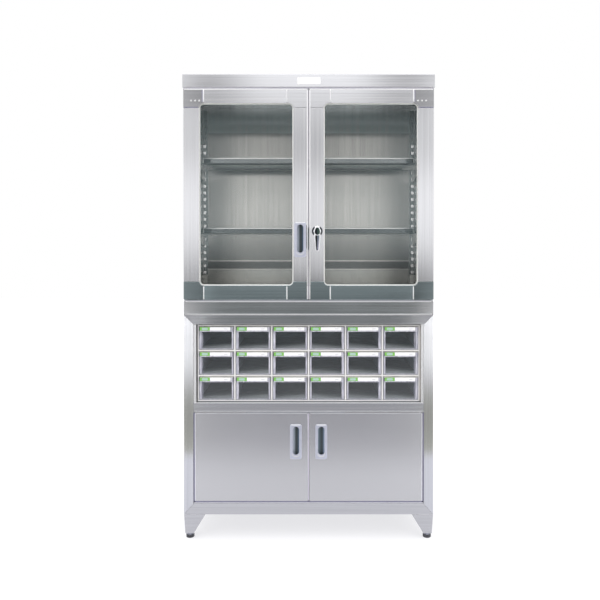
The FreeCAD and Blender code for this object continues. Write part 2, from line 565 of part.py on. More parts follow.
# ------------------------------------------------------------------ lower doors
def lower_door():
    x0, x1, z0, z1 = -LD_X_OUT, -LD_GAP_HALF, Z_LDOOR_B, Z_LDOOR_T
    d = box(x0, x1, Y_FRONT, Y_FRONT + LD_THK, z0, z1)
    d = d.makeFillet(FOLD_R, pick(d, lambda b: near(b.YMax, Y_FRONT) or (flat(b.XMin, b.XMax) and flat(b.ZMin, b.ZMax))))
    d = d.cut(box(x0 + T, x1 - T, Y_FRONT + T, Y_FRONT + LD_THK - T, z0 + T, z1 - T))
    d = d.cut(placed(pull_hole(-3.0, 4.0), -LPULL_X, Y_FRONT, LPULL_Z))
    for zz in (z0, z1):
        d = d.cut(cyl(PIN_R + 0.5, (-LO_X, LO_Y, zz - 5), (0, 0, 1), 10))
    bx0, bx1 = x0 + T + 0.1, -LO_X + 7.0
    by0, by1 = Y_FRONT + T + 0.1, LO_Y + 7.0
    top = box(bx0, bx1, by0, by1, z1 - T - 24, z1 - T - 0.1).fuse(
        cyl(PIN_R, (-LO_X, LO_Y, z1 - 20), (0, 0, 1), Z_MID_B + 9.0 - (z1 - 20)))
    btm = box(bx0, bx1, by0, by1, z0 + T + 0.1, z0 + T + 24).fuse(
        cyl(PIN_R, (-LO_X, LO_Y, Z_BRAIL_T - 9.0), (0, 0, 1), z0 + 20 - (Z_BRAIL_T - 9.0)))
    return d, [top.removeSplitter(), btm.removeSplitter()]


d, pins = lower_door()
put("lower_left_door", d)
put("lower_left_pivots", pins)
put("lower_left_pull", placed(pull_shape(), -LPULL_X, Y_FRONT - 0.05, LPULL_Z))
put("lower_right_door", mirror_x(d))
put("lower_right_pivots", [mirror_x(s) for s in pins])
put("lower_right_pull", placed(pull_shape(), LPULL_X, Y_FRONT - 0.05, LPULL_Z))

# ------------------------------------------------------------------ drawer housing and drawers
half = COLS * COL_PITCH / 2
hx0, hx1 = -half + DIV_T / 2 - H_SIDE, half - DIV_T / 2 + H_SIDE
hz0 = HOUSING_Z0
bay_z = [hz0 + H_BOTTOM + k * (BAY_H + HSHELF_T) for k in range(ROWS)][::-1]   # row 1 at the top
hz1 = hz0 + H_BOTTOM + ROWS * BAY_H + (ROWS - 1) * HSHELF_T + H_TOP
hy0, hy1 = HOUSING_Y0, HOUSING_Y1


def front_round(s, y):
    return s.makeFillet(1.0, [e for e in s.Edges if near(e.BoundBox.YMax, y) and e.BoundBox.DiagonalLength > 60])


plates = [front_round(box(hx0, hx1, hy0, hy1, hz0, hz0 + H_BOTTOM), hy0),
          front_round(box(hx0, hx1, hy0, hy1, hz1 - H_TOP, hz1), hy0),
          front_round(box(hx0, hx0 + H_SIDE, hy0, hy1, hz0 + H_BOTTOM, hz1 - H_TOP), hy0),
          front_round(box(hx1 - H_SIDE, hx1, hy0, hy1, hz0 + H_BOTTOM, hz1 - H_TOP), hy0),
          box(hx0 + H_SIDE, hx1 - H_SIDE, hy1 - H_BACK, hy1, hz0 + H_BOTTOM, hz1 - H_TOP)]
bay_x = [-half + k * COL_PITCH + DIV_T / 2 for k in range(COLS)]
bay_w = COL_PITCH - DIV_T
for k in range(1, COLS):
    # upright divider: broad rounded nose at the front, thin web behind it
    xc = -half + k * COL_PITCH
    zb0, zb1 = hz0 + H_BOTTOM, hz1 - H_TOP
    nose = front_round(box(xc - DIV_T / 2, xc + DIV_T / 2, hy0, hy0 + NOSE, zb0, zb1), hy0)
    plates.append(nose.fuse(box(xc - WEB_T / 2, xc + WEB_T / 2, hy0 + NOSE - 1, hy1 - H_BACK, zb0, zb1)).removeSplitter())
for k in range(COLS):
    # the shelf under each drawer fills the width between the upright webs
    for r in range(ROWS - 1):
        zt = bay_z[r]
        xl = bay_x[k] if k == 0 else bay_x[k] - DIV_T / 2 + WEB_T / 2
        xr = bay_x[k] + bay_w if k == COLS - 1 else bay_x[k] + bay_w + DIV_T / 2 - WEB_T / 2
        nose = front_round(box(bay_x[k], bay_x[k] + bay_w, hy0, hy0 + NOSE, zt - HSHELF_T, zt), hy0)
        web = box(xl, xr, hy0 + NOSE, hy1 - H_BACK, zt - WEB_T, zt)
        plates.append(nose.fuse(web).removeSplitter())
put("drawer_housing", plates)


def drawer(xb, zb):
    """Clear moulded drawer with a thick label lip along the top of its front."""
    x0, x1 = xb + DRAWER_GAP_X, xb + bay_w - DRAWER_GAP_X
    z0, z1 = zb + DRAWER_GAP_B, zb + BAY_H - DRAWER_GAP_T
    yf = HOUSING_Y0 + 0.6
    w = DRAWER_WALL
    tub = box(x0 + 1.0, x1 - 1.0, yf + 0.5, yf + DRAWER_LEN, z0, z0 + DRAWER_SIDE_H)
    front = box(x0, x1, yf, yf + DRAWER_FRONT, z0, z1)
    front = front.makeFillet(1.0, [e for e in front.Edges if near(e.BoundBox.YMax, yf)])
    lip = box(x0 + 1.2, x1 - 1.2, yf - LIP_OUT, yf + 1.5, z1 - LIP_H, z1 - 0.4)
    lip = lip.makeFillet(1.2, [e for e in lip.Edges if near(e.BoundBox.YMax, yf - LIP_OUT)])
    s = tub.fuse(front).fuse(lip)
    s = s.cut(box(x0 + 1.0 + w, x1 - 1.0 - w, yf + DRAWER_FRONT, yf + DRAWER_LEN - w, z0 + w, z1 + 20))
    return s.removeSplitter()


for r in range(ROWS):
    for c in range(COLS):
        put("drawer_r%dc%d" % (r + 1, c + 1), drawer(bay_x[c], bay_z[r]))

if __name__ == "__main__":
    total = None
    for nm, sh in NODES.items():
        bb = sh.BoundBox
        print("%-20s solids %2d vol %10.0f  x %.1f..%.1f y %.1f..%.1f z %.1f..%.1f" % (
            nm, len(sh.Solids), sh.Volume, bb.XMin, bb.XMax, bb.YMin, bb.YMax, bb.ZMin, bb.ZMax))
        total = bb if total is None else total.united(bb)
    print("nodes", len(NODES), "box", total)
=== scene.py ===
import math

import bmesh
import bpy
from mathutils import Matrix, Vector


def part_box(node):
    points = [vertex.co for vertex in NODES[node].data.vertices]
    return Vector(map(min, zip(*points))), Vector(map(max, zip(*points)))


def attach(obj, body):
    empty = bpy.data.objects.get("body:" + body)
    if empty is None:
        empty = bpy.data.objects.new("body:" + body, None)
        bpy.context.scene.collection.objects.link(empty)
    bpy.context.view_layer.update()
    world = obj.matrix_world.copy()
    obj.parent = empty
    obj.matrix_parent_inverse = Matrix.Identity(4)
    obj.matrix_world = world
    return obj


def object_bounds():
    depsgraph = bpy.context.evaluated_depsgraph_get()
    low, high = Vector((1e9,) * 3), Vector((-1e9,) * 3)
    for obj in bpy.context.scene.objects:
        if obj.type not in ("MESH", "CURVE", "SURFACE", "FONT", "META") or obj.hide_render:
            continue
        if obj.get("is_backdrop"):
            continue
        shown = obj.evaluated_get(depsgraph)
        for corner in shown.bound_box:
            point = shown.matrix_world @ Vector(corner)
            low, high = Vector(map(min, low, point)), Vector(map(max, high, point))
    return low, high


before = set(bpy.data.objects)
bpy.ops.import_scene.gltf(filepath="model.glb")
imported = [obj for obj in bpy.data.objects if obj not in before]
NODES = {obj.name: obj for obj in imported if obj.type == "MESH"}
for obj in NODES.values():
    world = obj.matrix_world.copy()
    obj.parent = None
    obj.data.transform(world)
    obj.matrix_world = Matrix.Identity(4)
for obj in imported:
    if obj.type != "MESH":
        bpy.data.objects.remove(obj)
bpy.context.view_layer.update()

scene = bpy.context.scene
scene.view_settings.view_transform = "Standard"
scene.view_settings.look = "None"
scene.view_settings.exposure = 0.0
scene.view_settings.gamma = 1.0
scene.cycles.transparent_max_bounces = 24


# ------------------------------------------------------------------ node helpers
class Mat:
    """Small builder for a node material."""

    def __init__(self, name):
        self.mat = bpy.data.materials.new(name)
        self.mat.use_nodes = True
        self.nt = self.mat.node_tree
        self.nt.nodes.clear()
        self.out = self.nt.nodes.new("ShaderNodeOutputMaterial")

    def new(self, kind, **props):
        n = self.nt.nodes.new(kind)
        for k, v in props.items():
            setattr(n, k, v)
        return n

    def link(self, a, b):
        self.nt.links.new(a, b)

    def coords(self, scale):
        tc = self.new("ShaderNodeTexCoord")
        mp = self.new("ShaderNodeMapping")
        mp.inputs["Scale"].default_value = scale
        self.link(tc.outputs["Object"], mp.inputs["Vector"])
        return mp.outputs["Vector"]

    def noise(self, vec, scale=1.0, detail=2.0, rough=0.5, distort=0.0):
        n = self.new("ShaderNodeTexNoise")
        n.inputs["Scale"].default_value = scale
        n.inputs["Detail"].default_value = detail
        n.inputs["Roughness"].default_value = rough
        n.inputs["Distortion"].default_value = distort
        self.link(vec, n.inputs["Vector"])
        return n.outputs["Fac"]

    def ramp(self, fac, lo, hi, out_lo, out_hi):
        n = self.new("ShaderNodeMapRange")
        n.clamp = True
        n.inputs["From Min"].default_value = lo
        n.inputs["From Max"].default_value = hi
        n.inputs["To Min"].default_value = out_lo
        n.inputs["To Max"].default_value = out_hi
        self.link(fac, n.inputs["Value"])
        return n.outputs["Result"]

    def math(self, op, a, b):
        n = self.new("ShaderNodeMath", operation=op)
        for i, v in enumerate((a, b)):
            if isinstance(v, (int, float)):
                n.inputs[i].default_value = v
            else:
                self.link(v, n.inputs[i])
        return n.outputs[0]

    def mix(self, fac, a, b, blend="MIX"):
        n = self.new("ShaderNodeMix", data_type="RGBA", blend_type=blend)
        for sock, v in ((n.inputs[0], fac), (n.inputs[6], a), (n.inputs[7], b)):
            if isinstance(v, (int, float)):
                sock.default_value = v
            elif isinstance(v, (tuple, list)):
                sock.default_value = (*v[:3], 1.0)
            else:
                self.link(v, sock)
        return n.outputs[2]

    def bump(self, height, strength, distance, normal=None):
        n = self.new("ShaderNodeBump")
        n.inputs["Strength"].default_value = strength
        n.inputs["Distance"].default_value = distance
        self.link(height, n.inputs["Height"])
        if normal is not None:
            self.link(normal, n.inputs["Normal"])
        return n.outputs["Normal"]

    def principled(self, **values):
        p = self.new("ShaderNodeBsdfPrincipled")
        for k, v in values.items():
            p.inputs[k].default_value = v
        return p

    def edge_mask(self, radius, gain):
        """Bright where the surface turns a corner within radius."""
        bev = self.new("ShaderNodeBevel", samples=4)
        bev.inputs["Radius"].default_value = radius
        geo = self.new("ShaderNodeNewGeometry")
        dot = self.new("ShaderNodeVectorMath", operation="DOT_PRODUCT")
        self.link(bev.outputs["Normal"], dot.inputs[0])
        self.link(geo.outputs["Normal"], dot.inputs[1])
        return self.ramp(dot.outputs["Value"], 1.0 - gain, 0.995, 1.0, 0.0)

    def done(self, shader):
        self.link(shader, self.out.inputs["Surface"])
        return self.mat


# ------------------------------------------------------------------ materials
def steel(name, grain, base=(0.60, 0.605, 0.615), along=0.014, across=0.08, fold=0.0022, streak=1.0, wave=0.22, metal=1.0, seed=0.0, outer=None, heights=None, inside=None, broad=0.02, pitch=85.0, ends=None, forward=False):
    """Hairline-brushed stainless sheet. grain 'x' runs across, 'z' runs upright,
    'frame' is upright on the stiles and runs across on the rails of a glazed door.
    along and across are the spread of the gloss along and across the grain; fold is the
    radius to which the sheet's edges are rounded. outer, ends, inside and heights paint light
    and shade into the colour by place, and forward keeps the painting by height to faces that look to the front."""
    m = Mat(name)
    fine_x, fine_z = (14.0, 2600.0, 2600.0), (2600.0, 2600.0, 14.0)
    wide_x, wide_z = (1.6, 260.0, 260.0), (260.0, 260.0, 1.6)
    cache = {}

    def rail_mask():
        if "rail" not in cache:
            tc = m.new("ShaderNodeTexCoord")
            sep = m.new("ShaderNodeSeparateXYZ")
            m.link(tc.outputs["Object"], sep.inputs[0])
            away = m.math("ABSOLUTE", m.math("SUBTRACT", sep.outputs["Z"], 1.261), 0.0)
            cache["rail"] = m.math("GREATER_THAN", away, 0.3165)
        return cache["rail"]

    def grain_noise(sx, sz, detail):
        if grain == "x":
            return m.noise(m.coords(sx), 1.0, detail, 0.6)
        if grain == "z":
            return m.noise(m.coords(sz), 1.0, detail, 0.6)
        a = m.noise(m.coords(sx), 1.0, detail, 0.6)
        b = m.noise(m.coords(sz), 1.0, detail, 0.6)
        mixn = m.new("ShaderNodeMix", data_type="FLOAT")
        m.link(rail_mask(), mixn.inputs[0])
        m.link(b, mixn.inputs[2])
        m.link(a, mixn.inputs[3])
        return mixn.outputs[0]

    fine = grain_noise(fine_x, fine_z, 2.0)
    wide = grain_noise(wide_x, wide_z, 3.0)
    cloud = m.noise(m.coords((1.0, 1.0, 1.0)), 3.1 + seed, 3.0, 0.55)
    dull = m.noise(m.coords((1.0, 1.0, 1.0)), 0.9 + 0.3 * seed, 1.0, 0.4)

    low, high = 1.0 - 0.07 * streak, 1.0 + 0.05 * streak
    tone = m.mix(m.ramp(wide, 0.32, 0.68, 0.0, 1.0), tuple(low * c for c in base), tuple(high * c for c in base))
    tone = m.mix(m.ramp(fine, 0.3, 0.7, 0.0, 0.22 * streak), tone, tuple(0.80 * c for c in base))
    tone = m.mix(m.ramp(cloud, 0.35, 0.75, 0.0, 0.10), tone, (0.52, 0.53, 0.56))
    bands_x, bands_z = (1.1, pitch, pitch), (pitch, pitch, 1.1)
    coarse = grain_noise(bands_x, bands_z, 2.0)
    tone = m.mix(1.0, tone, m.mix(m.ramp(coarse, 0.30, 0.70, 0.0, 1.0), (1.0 - broad,) * 3, (1.0 + broad,) * 3), "MULTIPLY")
    if outer is not None or heights is not None or inside is not None or ends is not None:
        tcp = m.new("ShaderNodeTexCoord")
        sepp = m.new("ShaderNodeSeparateXYZ")
        m.link(tcp.outputs["Object"], sepp.inputs[0])
    # painted shade: the colour is multiplied by outer beyond 0.30 m from the middle
    if outer is not None:
        beyond = m.math("GREATER_THAN", m.math("ABSOLUTE", sepp.outputs["X"], 0.0), 0.30)
        tone = m.mix(beyond, tone, m.mix(1.0, tone, outer, "MULTIPLY"))
    # painted shade: the colour is multiplied by factor from x_lo to x_hi out towards the ends, above z_from
    if ends is not None:
        x_lo, x_hi, factor, z_from = ends
        out_there = m.ramp(m.math("ABSOLUTE", sepp.outputs["X"], 0.0), x_lo, x_hi, 0.0, 1.0)
        out_there = m.math("MULTIPLY", out_there, m.math("GREATER_THAN", sepp.outputs["Z"], z_from))
        tone = m.mix(out_there, tone, m.mix(1.0, tone, factor, "MULTIPLY"))
    # painted shade: the colour is multiplied by factor on faces nearer the middle than limit
    if inside is not None:
        limit, factor = inside
        within = m.math("LESS_THAN", m.math("ABSOLUTE", sepp.outputs["X"], 0.0), limit)
        tone = m.mix(within, tone, m.mix(1.0, tone, (factor,) * 3, "MULTIPLY"))
    # painted light and shade by height: the colour is multiplied by the tone given for each height
    if heights is not None:
        z_lo, z_hi = heights[0][0], heights[-1][0]
        shade = m.new("ShaderNodeValToRGB")
        els = shade.color_ramp.elements
        els.remove(els[1])
        for i, (z, v) in enumerate(heights):
            e = els[0] if i == 0 else els.new((z - z_lo) / (z_hi - z_lo))
            e.position = (z - z_lo) / (z_hi - z_lo)
            e.color = (*v, 1.0) if isinstance(v, tuple) else (v, v, v, 1.0)
        m.link(m.ramp(sepp.outputs["Z"], z_lo, z_hi, 0.0, 1.0), shade.inputs[0])
        shaded = m.mix(1.0, tone, shade.outputs[0], "MULTIPLY")
        # forward keeps the painted light and shade by height to faces that look to the front; other faces and all below
        # 0.868 m get a plain tone
        if forward:
            facing = m.new("ShaderNodeSeparateXYZ")
            m.link(tcp.outputs["Normal"], facing.inputs[0])
            plain = m.mix(0.90, tone, (0.515, 0.515, 0.512))
            shaded = m.mix(m.ramp(facing.outputs["Y"], -0.5, -0.2, 1.0, 0.0), plain, shaded)
            below = m.math("GREATER_THAN", sepp.outputs["Z"], 0.868)
            shaded = m.mix(below, plain, shaded)
        tone = shaded
    rough = (along * across) ** 0.25
    spread = 0.07 * min(1.0, 2.0 * streak)
    r = m.ramp(wide, 0.3, 0.7, rough * (1.0 - spread), rough * (1.0 + spread))
    r = m.math("ADD", r, m.ramp(cloud, 0.3, 0.75, -0.010, 0.018))
    bev = m.new("ShaderNodeBevel", samples=6)
    bev.inputs["Radius"].default_value = fold
    geo = m.new("ShaderNodeNewGeometry")
    dot = m.new("ShaderNodeVectorMath", operation="DOT_PRODUCT")
    m.link(bev.outputs["Normal"], dot.inputs[0])
    m.link(geo.outputs["Normal"], dot.inputs[1])
    # the rounded folds are lightened in colour: worn edges, and a painted highlight along the folds
    worn_edge_and_highlight = m.ramp(dot.outputs["Value"], 0.70, 0.995, 1.0, 0.0)
    tone = m.mix(m.math("MULTIPLY", worn_edge_and_highlight, m.ramp(cloud, 0.3, 0.7, 0.45, 0.85)), tone, (0.88, 0.88, 0.885))
    n = m.bump(dull, wave, 0.004, bev.outputs["Normal"])
    n = m.bump(fine, 0.10, 0.00003, n)

    p = m.principled(Metallic=metal, Anisotropic=min(1.0, (1.0 - along / across) / 0.9))
    m.link(tone, p.inputs["Base Color"])
    m.link(r, p.inputs["Roughness"])
    m.link(n, p.inputs["Normal"])
    # the highlight is drawn out across the grain
    across_z, across_x = (1.0, 0.55, 0.0), (0.0, 0.12, 1.0)
    if grain == "frame":
        mv = m.new("ShaderNodeMix", data_type="VECTOR")
        mv.inputs[4].default_value = across_z
        mv.inputs[5].default_value = across_x
        m.link(rail_mask(), mv.inputs[0])
        src = mv.outputs[1]
    else:
        vec = m.new("ShaderNodeCombineXYZ")
        for i, v in enumerate(across_x if grain == "x" else across_z):
            vec.inputs[i].default_value = v
        src = vec.outputs[0]
    vt = m.new("ShaderNodeVectorTransform", vector_type="VECTOR", convert_from="OBJECT", convert_to="WORLD")
    m.link(src, vt.inputs[0])
    m.link(vt.outputs[0], p.inputs["Tangent"])
    return m.done(p.outputs[0])


def moulded(name, base, rough, spec=0.5, grain=900.0, bump=0.06, fleck=0.06):
    """Moulded plastic or satin paint with a fine texture and slightly worn edges, lightened in colour as a painted
    highlight too.
    """
    m = Mat(name)
    fine = m.noise(m.coords((1, 1, 1)), grain, 2.0, 0.5)
    cloud = m.noise(m.coords((1, 1, 1)), 14.0, 3.0, 0.55)
    tone = m.mix(m.ramp(cloud, 0.3, 0.7, 0.0, 1.0), tuple((1 - fleck) * c for c in base), tuple(min(1.0, (1 + fleck) * c) for c in base))
    worn_edge_and_highlight = m.edge_mask(0.0012, 0.25)
    tone = m.mix(m.math("MULTIPLY", worn_edge_and_highlight, 0.35), tone, tuple(min(1.0, 1.25 * c + 0.06) for c in base))
    p = m.principled(**{"Specular IOR Level": spec})
    m.link(tone, p.inputs["Base Color"])
    m.link(m.ramp(cloud, 0.25, 0.75, rough - 0.05, rough + 0.06), p.inputs["Roughness"])
    m.link(m.bump(fine, bump, 0.0002), p.inputs["Normal"])
    return m.done(p.outputs[0])


def polished(name, base, rough, metal=1.0):
    m = Mat(name)
    cloud = m.noise(m.coords((1, 1, 1)), 60.0, 3.0, 0.6)
    p = m.principled(Metallic=metal)
    m.link(m.mix(m.ramp(cloud, 0.3, 0.7, 0.0, 1.0), tuple(0.94 * c for c in base), base), p.inputs["Base Color"])
    m.link(m.ramp(cloud, 0.3, 0.75, rough, rough + 0.06), p.inputs["Roughness"])
    return m.done(p.outputs[0])


def see_through(name, tint, mirror_tint, rough, ior, haze=None):
    """Clear sheet: passes tinted light straight through and mirrors by Fresnel, with faint marks."""
    m = Mat(name)
    clear = m.new("ShaderNodeBsdfTransparent")
    clear.inputs["Color"].default_value = (*tint, 1.0)
    gloss = m.new("ShaderNodeBsdfGlossy")
    gloss.inputs["Color"].default_value = (*mirror_tint, 1.0)
    smear = m.noise(m.coords((1, 1, 1)), 7.0, 4.0, 0.6)
    m.link(m.ramp(smear, 0.35, 0.75, rough, rough + 0.05), gloss.inputs["Roughness"])
    fres = m.new("ShaderNodeFresnel")
    fres.inputs["IOR"].default_value = ior
    mixs = m.new("ShaderNodeMixShader")
    m.link(fres.outputs[0], mixs.inputs[0])
    m.link(clear.outputs[0], mixs.inputs[1])
    m.link(gloss.outputs[0], mixs.inputs[2])
    out = mixs.outputs[0]
    if haze is not None:
        colour, low, high = haze
        dif = m.new("ShaderNodeBsdfDiffuse")
        dif.inputs["Color"].default_value = (*colour, 1.0)
        mix2 = m.new("ShaderNodeMixShader")
        m.link(m.ramp(smear, 0.3, 0.75, low, high), mix2.inputs[0])
        m.link(out, mix2.inputs[1])
        m.link(dif.outputs[0], mix2.inputs[2])
        out = mix2.outputs[0]
    return m.done(out)


STEEL_X = steel("steel_grain_across", "x", base=(0.555, 0.557, 0.572), along=0.012, across=0.022)
STEEL_Z = steel("steel_grain_upright", "z", base=(0.560, 0.562, 0.575), along=0.012, across=0.10, seed=0.4)
# painted reflection tones for low parts: the glazed doors' bottom rails and corner plates, and the foot of the front
# rails
LOW_RAIL, LOW_CORNER, LOW_BASE = (0.565, 0.672, 0.68), (0.53, 0.63, 0.635), (0.852, 0.852, 0.888)
EVEN = (1.0, 1.0, 1.0)
# painted shade: the inner faces of the upper sides are darkened to 0.63
STEEL_SIDE = steel("steel_side_panel", "z", base=(0.490, 0.492, 0.505), along=0.012, across=0.10, streak=0.7, seed=0.45, inside=(0.4485, 0.63))
STEEL_FLANK = steel("steel_lower_side", "z", base=(0.490, 0.492, 0.505), along=0.012, across=0.10, streak=0.7, seed=0.42)
# painted shade towards the ends of the waist band
STEEL_WAIST = steel("steel_waist", "x", base=(0.500, 0.516, 0.524), along=0.012, across=0.022, seed=0.07, ends=(0.345, 0.435, (0.75, 0.735, 0.735), 0.0))
# painted reflections on the posts by height: lilac low, olive in the middle, brighter towards the top
STEEL_POST = steel("steel_posts", "z", base=(0.560, 0.562, 0.575), along=0.012, across=0.10, seed=0.35,
                   heights=[(0.08, (0.965, 0.972, 1.035)), (0.29, (0.965, 0.972, 1.035)), (0.335, (0.975, 0.975, 0.92)), (0.50, (0.975, 0.975, 0.925)), (0.60, 1.0), (0.742, 1.0), (0.775, 1.12), (0.800, 1.32), (0.830, 1.42)])
STEEL_KICK = steel("steel_rear_kick", "z", base=(0.355, 0.360, 0.340), along=0.03, across=0.12, fold=0.0006, streak=2.0, seed=0.95, broad=0.10, pitch=190.0)
STEEL_MID = steel("steel_mid_rail", "x", base=(0.548, 0.552, 0.574), along=0.012, across=0.022, fold=0.0007, seed=0.12, broad=0.008)
STEEL_LOW = steel("steel_plinth", "x", base=(0.474, 0.475, 0.508), along=0.012, across=0.022, seed=0.15)
# painted shade towards the ends of the front rails above 0.79 m, and a darker lilac painted reflection below 0.16 m
STEEL_RAIL = steel("steel_lower_rails", "x", base=(0.555, 0.557, 0.572), along=0.012, across=0.022, fold=0.0009, seed=0.05, ends=(0.385, 0.440, (0.56, 0.56, 0.575), 0.79),
                   heights=[(0.05, LOW_BASE), (0.135, LOW_BASE), (0.16, EVEN), (0.90, EVEN)])
# painted reflection on the bottom rails of the glazed doors, below about 0.93 m, tinted teal
STEEL_F = steel("steel_door_frame", "frame", base=(0.560, 0.562, 0.575), along=0.012, across=0.026, seed=0.2,
                heights=[(0.86, LOW_RAIL), (0.9296, LOW_RAIL), (0.940, EVEN), (1.70, EVEN)])
# painted shade on the outer corner plates, and a painted reflection on the lower ones
STEEL_CORNER = steel("steel_door_corner", "x", base=(0.525, 0.527, 0.54), along=0.014, across=0.024, seed=0.3, outer=(0.66, 0.66, 0.66),
                     heights=[(0.86, LOW_CORNER), (0.955, LOW_CORNER), (0.965, EVEN), (1.70, EVEN)])
# painted light and shade by height on the inside of the back: dark and light bands standing for the reflections and
# shade it shows
STEEL_IN = steel("steel_inside_upright", "z", base=(0.560, 0.552, 0.532), along=0.016, across=0.12, fold=0.001, streak=2.6, metal=0.85, seed=0.7, broad=0.11, pitch=210.0, forward=True,
                 heights=[(0.86, 1.75), (0.960, 1.75), (0.968, 1.5), (0.973, 0.25), (0.997, 0.23), (1.0008, 0.30), (1.0026, 1.30), (1.0058, 1.30), (1.0078, 0.40), (1.021, 0.44), (1.072, 0.52),
                          (1.12, 0.70), (1.15, 0.93), (1.178, 0.96), (1.242, 0.93), (1.30, 0.85), (1.50, 0.83), (1.543, 0.83), (1.549, (1.78, 2.05, 2.12)), (1.60, (1.84, 2.10, 2.18)), (1.637, (1.12, 1.20, 1.24)), (1.66, (0.88, 0.93, 0.96))])
STEEL_STD = steel("steel_shelf_standard", "z", base=(0.30, 0.325, 0.325), along=0.06, across=0.10, fold=0.0006, seed=0.85)
STEEL_LINER = steel("steel_door_liner", "x", base=(0.84, 0.85, 0.84), along=0.20, across=0.26, fold=0.001, metal=0.25, seed=0.8)
# the shelves' dark colour is painted shade, and the lower shelf, below 1.25 m, is painted darker still
STEEL_SHELF = steel("steel_shelf", "x", base=(0.190, 0.205, 0.212), along=0.03, across=0.06, fold=0.0006, seed=0.6, heights=[(1.0, 0.48), (1.25, 0.48), (1.30, 1.0), (1.70, 1.0)])
STEEL_DOOR = steel("steel_cupboard_door", "x", base=(0.495, 0.495, 0.520), along=0.035, across=0.065, streak=0.16, seed=0.5, broad=0.0)
STEEL_BRIGHT = steel("steel_smooth_bright", "z", base=(0.72, 0.72, 0.73), along=0.06, across=0.09, fold=0.001, seed=0.9)
GLASS = see_through("door_glass", (0.960, 0.957, 0.948), (0.80, 0.97, 1.0), 0.0, 1.50)
SEAL = moulded("glazing_seal", (0.93, 0.925, 0.89), 0.42)
HOUSING = moulded("drawer_housing", (0.745, 0.73, 0.72), 0.42)
BUSH = moulded("bush_nylon", (0.80, 0.80, 0.76), 0.45)


def foot_black():
    """Moulded black pad under a plated collar and stud."""
    m = Mat("foot_black")
    tc = m.new("ShaderNodeTexCoord")
    pos = m.new("ShaderNodeSeparateXYZ")
    m.link(tc.outputs["Object"], pos.inputs[0])
    fine = m.noise(m.coords((1, 1, 1)), 900.0, 2.0, 0.5)
    cloud = m.noise(m.coords((1, 1, 1)), 120.0, 3.0, 0.55)
    plated = m.math("GREATER_THAN", pos.outputs["Z"], 0.0122)
    black = m.mix(m.ramp(cloud, 0.3, 0.7, 0.0, 1.0), (0.022, 0.023, 0.030), (0.050, 0.052, 0.062))
    p = m.principled(**{"Specular IOR Level": 0.6})
    m.link(m.mix(plated, black, (0.50, 0.51, 0.57)), p.inputs["Base Color"])
    m.link(m.math("MULTIPLY", plated, 0.9), p.inputs["Metallic"])
    m.link(m.ramp(cloud, 0.25, 0.75, 0.20, 0.34), p.inputs["Roughness"])
    m.link(m.bump(fine, 0.05, 0.0002), p.inputs["Normal"])
    return m.done(p.outputs[0])


FOOT = foot_black()


def lock_rose(cx, cz):
    """Blackened rose of the lock: the flanks are dark, crown and foot carry a painted highlight."""
    m = Mat("lock_rose")
    tc = m.new("ShaderNodeTexCoord")
    pos = m.new("ShaderNodeSeparateXYZ")
    m.link(tc.outputs["Object"], pos.inputs[0])
    x = m.math("ABSOLUTE", m.math("SUBTRACT", pos.outputs["X"], cx), 0.0)
    z = m.math("SUBTRACT", pos.outputs["Z"], cz)
    cloud = m.noise(m.coords((1, 1, 1)), 160.0, 3.0, 0.6)
    # painted highlight: a pale band up the middle, about as wide as the lever's boss, standing for the bright ring
    # round it
    limit = m.ramp(z, -0.018, 0.018, 0.0122, 0.0084)
    painted_glint = m.ramp(m.math("SUBTRACT", x, limit), -0.0012, 0.0012, 1.0, 0.0)
    p = m.principled(Metallic=0.9)
    m.link(m.mix(painted_glint, m.mix(cloud, (0.035, 0.040, 0.048), (0.055, 0.060, 0.068)), (0.90, 0.90, 0.92)), p.inputs["Base Color"])
    m.link(m.ramp(cloud, 0.3, 0.75, 0.12, 0.22), p.inputs["Roughness"])
    return m.done(p.outputs[0])


LOCK_DARK = lock_rose(0.0315, 1.128)


def lock_plating(cx, cz):
    """Plated lever with painted reflections: a pale rim painted as a highlight round an egg-shaped boss painted dark,
    and a ridged blade with one flank painted dark and the other painted lighter.
    """
    m = Mat("lock_chrome")
    tc = m.new("ShaderNodeTexCoord")
    pos = m.new("ShaderNodeSeparateXYZ")
    m.link(tc.outputs["Object"], pos.inputs[0])
    x = m.math("SUBTRACT", pos.outputs["X"], cx)
    z = m.math("SUBTRACT", pos.outputs["Z"], cz)
    cloud = m.noise(m.coords((1, 1, 1)), 160.0, 3.0, 0.6)
    # egg: narrower towards the top
    wide = m.ramp(z, -0.011, 0.013, 0.0116, 0.0080)
    ex = m.math("DIVIDE", x, wide)
    ez = m.math("DIVIDE", m.math("SUBTRACT", z, 0.0008), 0.0142)
    rr = m.math("ADD", m.math("MULTIPLY", ex, ex), m.math("MULTIPLY", ez, ez))
    egg = m.ramp(rr, 0.82, 1.02, 1.0, 0.0)
    right = m.ramp(x, -0.0006, 0.0006, 0.0, 1.0)
    blade = m.ramp(z, -0.0152, -0.0140, 1.0, 0.0)
    # painted reflections: the left flank of the blade nearly black, the right flank lighter towards the tip; the left
    # half of the boss nearly black, the right half dark green; the pale rim round the boss is a painted highlight
    flank = m.mix(right, (0.020, 0.024, 0.028), m.mix(m.ramp(z, -0.066, -0.018, 0.0, 1.0), (0.30, 0.29, 0.38), (0.16, 0.19, 0.22)))
    boss = m.mix(right, (0.012, 0.016, 0.020), (0.045, 0.075, 0.065))
    tone = m.mix(egg, (0.92, 0.92, 0.93), boss)
    tone = m.mix(blade, tone, flank)
    p = m.principled(Metallic=0.9)
    m.link(tone, p.inputs["Base Color"])
    m.link(m.ramp(cloud, 0.3, 0.75, 0.16, 0.26), p.inputs["Roughness"])
    return m.done(p.outputs[0])


LOCK_CHROME = lock_plating(0.0315, 1.128)


